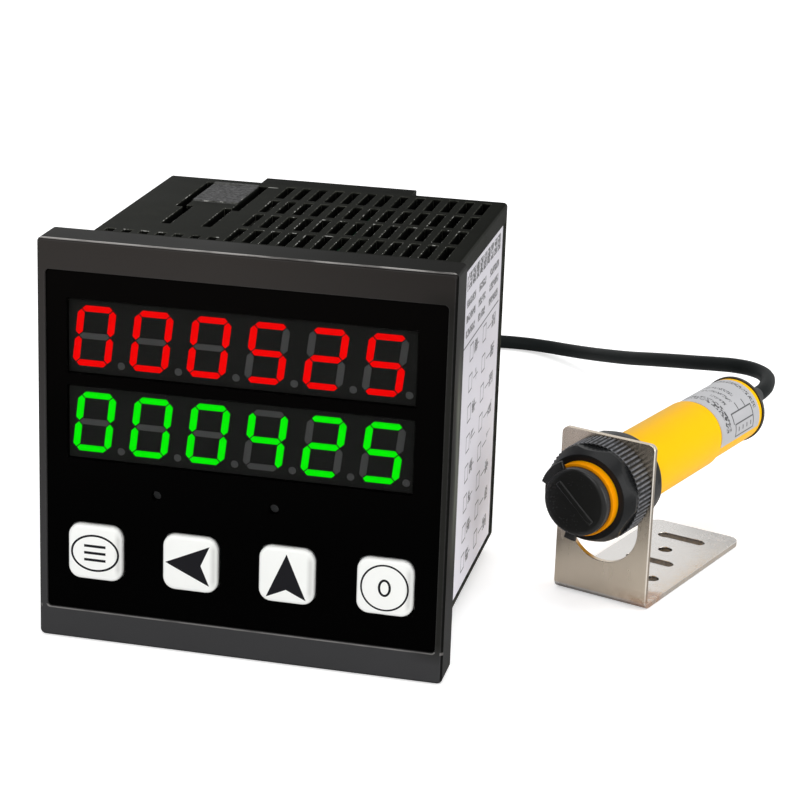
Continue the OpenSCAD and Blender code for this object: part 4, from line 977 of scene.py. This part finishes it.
class COUNTER_OT_barrel(Undoable, bpy.types.Operator):
    """Turn the sensor's barrel, filter, end cap and strain relief"""
    bl_idname = "counter.barrel"
    bl_label = "Sensor barrel"

    def execute(self, context):
        yellow = moulded("barrel_plastic", rgb("barrel"), 0.34, 0.4, 0.003, 16, 0.04, specular=0.04)
        skin = yellow.mix(yellow.noise(16), rgb("barrel"), yellow.shade(1.06))
        rim = 1 - yellow.sensor_axes()[1].above(-11.2, 0.6)
        yellow.set(base_color=yellow.mix(rim, skin, tone("ea9200")))
        add_piece("barrel", lathe(BARREL_PROFILE), yellow,
                  node="sensor_barrel")
        glass = moulded("filter_plastic", tone("1d1d1c"), 0.25, 0.6, 0.003, 6, 0.1, specular=0.25)
        ridge = round_edges(slab(RIDGE_LOW, RIDGE_HIGH), RIDGE_ROUND * MM, 4)
        ridge.transform(SENSOR @ Matrix.Rotation(radians(RIDGE_TURN), 4, "Y"))
        parts = [lathe(FILTER_PROFILE, closed=False), ridge] + [self.tab(*where) for where in TABS]
        add_piece("filter", join(parts), glass, node="lens_filter")
        add_piece("rear_cap", lathe(REAR_CAP_PROFILE),
                  moulded("cap_plastic", tone("151515"), 0.4, 0.3, 0.008),
                  node="end_cap")
        add_piece("relief", lathe(self.relief(), 48),
                  moulded("relief_rubber", tone("191b1b"), 0.6, 0.3, 0.012),
                  node="strain_relief")
        return {"FINISHED"}

    def relief(self):
        """The strain relief's outline: a collar, then a taper with four grooves."""
        profile = list(RELIEF_FOOT)
        for start in RELIEF_GROOVES:
            width = 3.5 - (start - 76.2) / 11.8
            profile += [(start, width), (start + 0.1, width - 0.5), (start + 0.65, width - 0.5),
                        (start + 0.75, width - 0.07)]
        return profile + RELIEF_TIP

    def tab(self, start, end, out):
        """A rounded tab on the filter's rim, between two angles about the axis."""
        form = bmesh.new()
        corners = [(7.6, -14.9), (7.6, -13.5), (out, -13.5), (out, -14.5)]
        points = [form.verts.new((r * MM, s * MM, 0)) for r, s in corners]
        face = form.faces.new(points)
        bmesh.ops.rotate(form, verts=points, cent=(0, 0, 0),
                         matrix=Matrix.Rotation(radians(-start), 3, "Y"))
        bmesh.ops.spin(form, geom=[face] + list(face.edges) + points, cent=(0, 0, 0),
                       axis=(0, -1, 0), angle=radians(end - start),
                       steps=max(3, round((end - start) / TAB_STEP)))
        bmesh.ops.recalc_face_normals(form, faces=form.faces)
        round_edges(form, 0.3 * MM, 2, 40)
        form.transform(SENSOR)
        return form


class COUNTER_OT_sensor_label(Undoable, bpy.types.Operator):
    """Print the silver label round the rear of the barrel"""
    bl_idname = "counter.sensor_label"
    bl_label = "Sensor label"

    def execute(self, context):
        made = moulded("silver_film", tone("b7b7ba"), 0.32, 0.3, 0.003, 9, 0.05, metallic=0.3)
        x, y, z = made.sensor_axes()
        angle = z.math("ARCTAN2", x) * (180 / pi)
        soft, turn = 0.12, 0.8
        ink = [self.row(made, y, angle, *where) for where in SENSOR_ROWS]
        # A box and a wider frame beside it, a row of ticks in the box and two posts
        ink.append(y.between(56.3, 67.5, soft) * angle.between(-10, 14, turn)
                   - y.between(56.75, 67.05, soft) * angle.between(-7.6, 11.6, turn))
        ink.append(y.between(55.5, 67.5, soft) * angle.between(14, 34, turn)
                   - y.between(55.95, 67.05, soft) * angle.between(11, 31.6, turn))
        ink.append((y % 2.4).between(0.6, 1.1, soft) * y.between(57.6, 66.2, 0.01)
                   * angle.between(-2, 6, turn))
        ink.append(either([y.between(60.2, 60.6, soft), y.between(64.2, 64.6, soft)])
                   * angle.between(34, 48, turn))
        film = made.mix(made.noise(9), made.shade(0.96), made.shade(1.05))
        made.set(base_color=made.mix(either(ink) * 0.92, film, rgb("ink")))
        add_piece("barrel_label", welded("sensor_label", 0.05), made,
                  node="sensor_label")
        return {"FINISHED"}

    def row(self, made, y, angle, low, high, start, end, grain):
        """A row of small meaningless marks."""
        marks = made.noise(grain, 1, (1, 1.3, 1)).above(0.5, 0.06)
        return marks * y.between(low, high, 0.1) * angle.between(start, end, 0.8)


class COUNTER_OT_stage(Undoable, bpy.types.Operator):
    """Lay the pale floor and set the soft lights"""
    bl_idname = "counter.stage"
    bl_label = "Stage"

    def execute(self, context):
        scene = context.scene
        scene.view_settings.view_transform = "Standard"
        self.floor(scene)
        self.sky(scene)
        middle = (CAD_BOX[0] + CAD_BOX[1]) / 2
        for name, place, size, power in LIGHTS:
            lamp = bpy.data.lights.new(name, "AREA")
            lamp.shape, lamp.size, lamp.energy = "SQUARE", size, power
            placed = bpy.data.objects.new(name, lamp)
            aim = (middle - Vector(place)).to_track_quat("-Z", "Y")
            placed.matrix_world = Matrix.Translation(place) @ aim.to_matrix().to_4x4()
            scene.collection.objects.link(placed)
        return {"FINISHED"}

    def floor(self, scene):
        """A pale floor that the camera sees as white, and that still takes shadows."""
        form = bmesh.new()
        bmesh.ops.create_grid(form, x_segments=1, y_segments=1, size=FLOOR_HALF)
        bmesh.ops.translate(form, vec=(0, 0, CAD_BOX[0].z - FLOOR_GAP), verts=form.verts)
        mesh = bpy.data.meshes.new("floor")
        form.to_mesh(mesh)
        form.free()
        floor = bpy.data.objects.new("floor", mesh)
        scene.collection.objects.link(floor)
        paper = Finish("floor_paper", (0.86, 0.86, 0.86), 0.8, emission_strength=1)
        rays = paper.node("ShaderNodeLightPath", {}, {})
        seen = Value(paper, rays.outputs["Is Camera Ray"])
        x, y, _ = paper.axes()
        far = reach(x, y).above(1000, 1400)
        paper.set(base_color=paper.mix(paper.noise(3, 2), (0.85, 0.85, 0.85), (0.87, 0.87, 0.87)),
                  emission_color=paper.mix(seen * (0.5 + far * 0.2), (0, 0, 0), (1, 1, 1)))
        mesh.materials.append(paper.material)

    def sky(self, scene):
        """Even white light, at full strength where the camera, gloss or glass looks at it."""
        world = bpy.data.worlds.new("studio")
        sky = Nodes(world)
        rays = sky.node("ShaderNodeLightPath", {}, {})
        seen = either([Value(sky, rays.outputs[name]) for name in (
            "Is Camera Ray", "Is Glossy Ray", "Is Transmission Ray")])
        light = sky.node("ShaderNodeBackground", {}, {
            "Color": (1, 1, 1, 1), "Strength": 0.4 + seen * 0.6})
        sky.node("ShaderNodeOutputWorld", {}, {0: light.outputs[0]})
        scene.world = world


OPERATORS = (
    COUNTER_OT_camera, COUNTER_OT_cable, COUNTER_OT_bezel, COUNTER_OT_window, COUNTER_OT_digits,
    COUNTER_OT_keys, COUNTER_OT_case, COUNTER_OT_side_label, COUNTER_OT_works,
    COUNTER_OT_terminals, COUNTER_OT_bracket, COUNTER_OT_nuts, COUNTER_OT_barrel,
    COUNTER_OT_sensor_label, COUNTER_OT_stage,
)


class COUNTER_PT_panel(bpy.types.Panel):
    """The counter's pieces, sizes and colours"""
    bl_idname = "COUNTER_PT_panel"
    bl_label = "Infrared counter"
    bl_space_type = "VIEW_3D"
    bl_region_type = "UI"
    bl_category = "Counter"

    def draw(self, context):
        for operator in OPERATORS:
            self.layout.operator(operator.bl_idname)
        for group in (context.scene.counter_sizes, context.scene.counter_colours):
            column = self.layout.column(align=True)
            for name in group.__annotations__:
                column.prop(group, name)


CLASSES = (CounterSizes, CounterColours, *OPERATORS, COUNTER_PT_panel)


def register():
    for made in CLASSES:
        bpy.utils.register_class(made)
    bpy.types.Scene.counter_sizes = bpy.props.PointerProperty(type=CounterSizes)
    bpy.types.Scene.counter_colours = bpy.props.PointerProperty(type=CounterColours)


def unregister():
    del bpy.types.Scene.counter_colours
    del bpy.types.Scene.counter_sizes
    for made in reversed(CLASSES):
        bpy.utils.unregister_class(made)


def main():
    register()
    for operator in OPERATORS:
        group, name = operator.bl_idname.split(".")
        getattr(getattr(bpy.ops, group), name)()


if __name__ == "__main__":
    main()
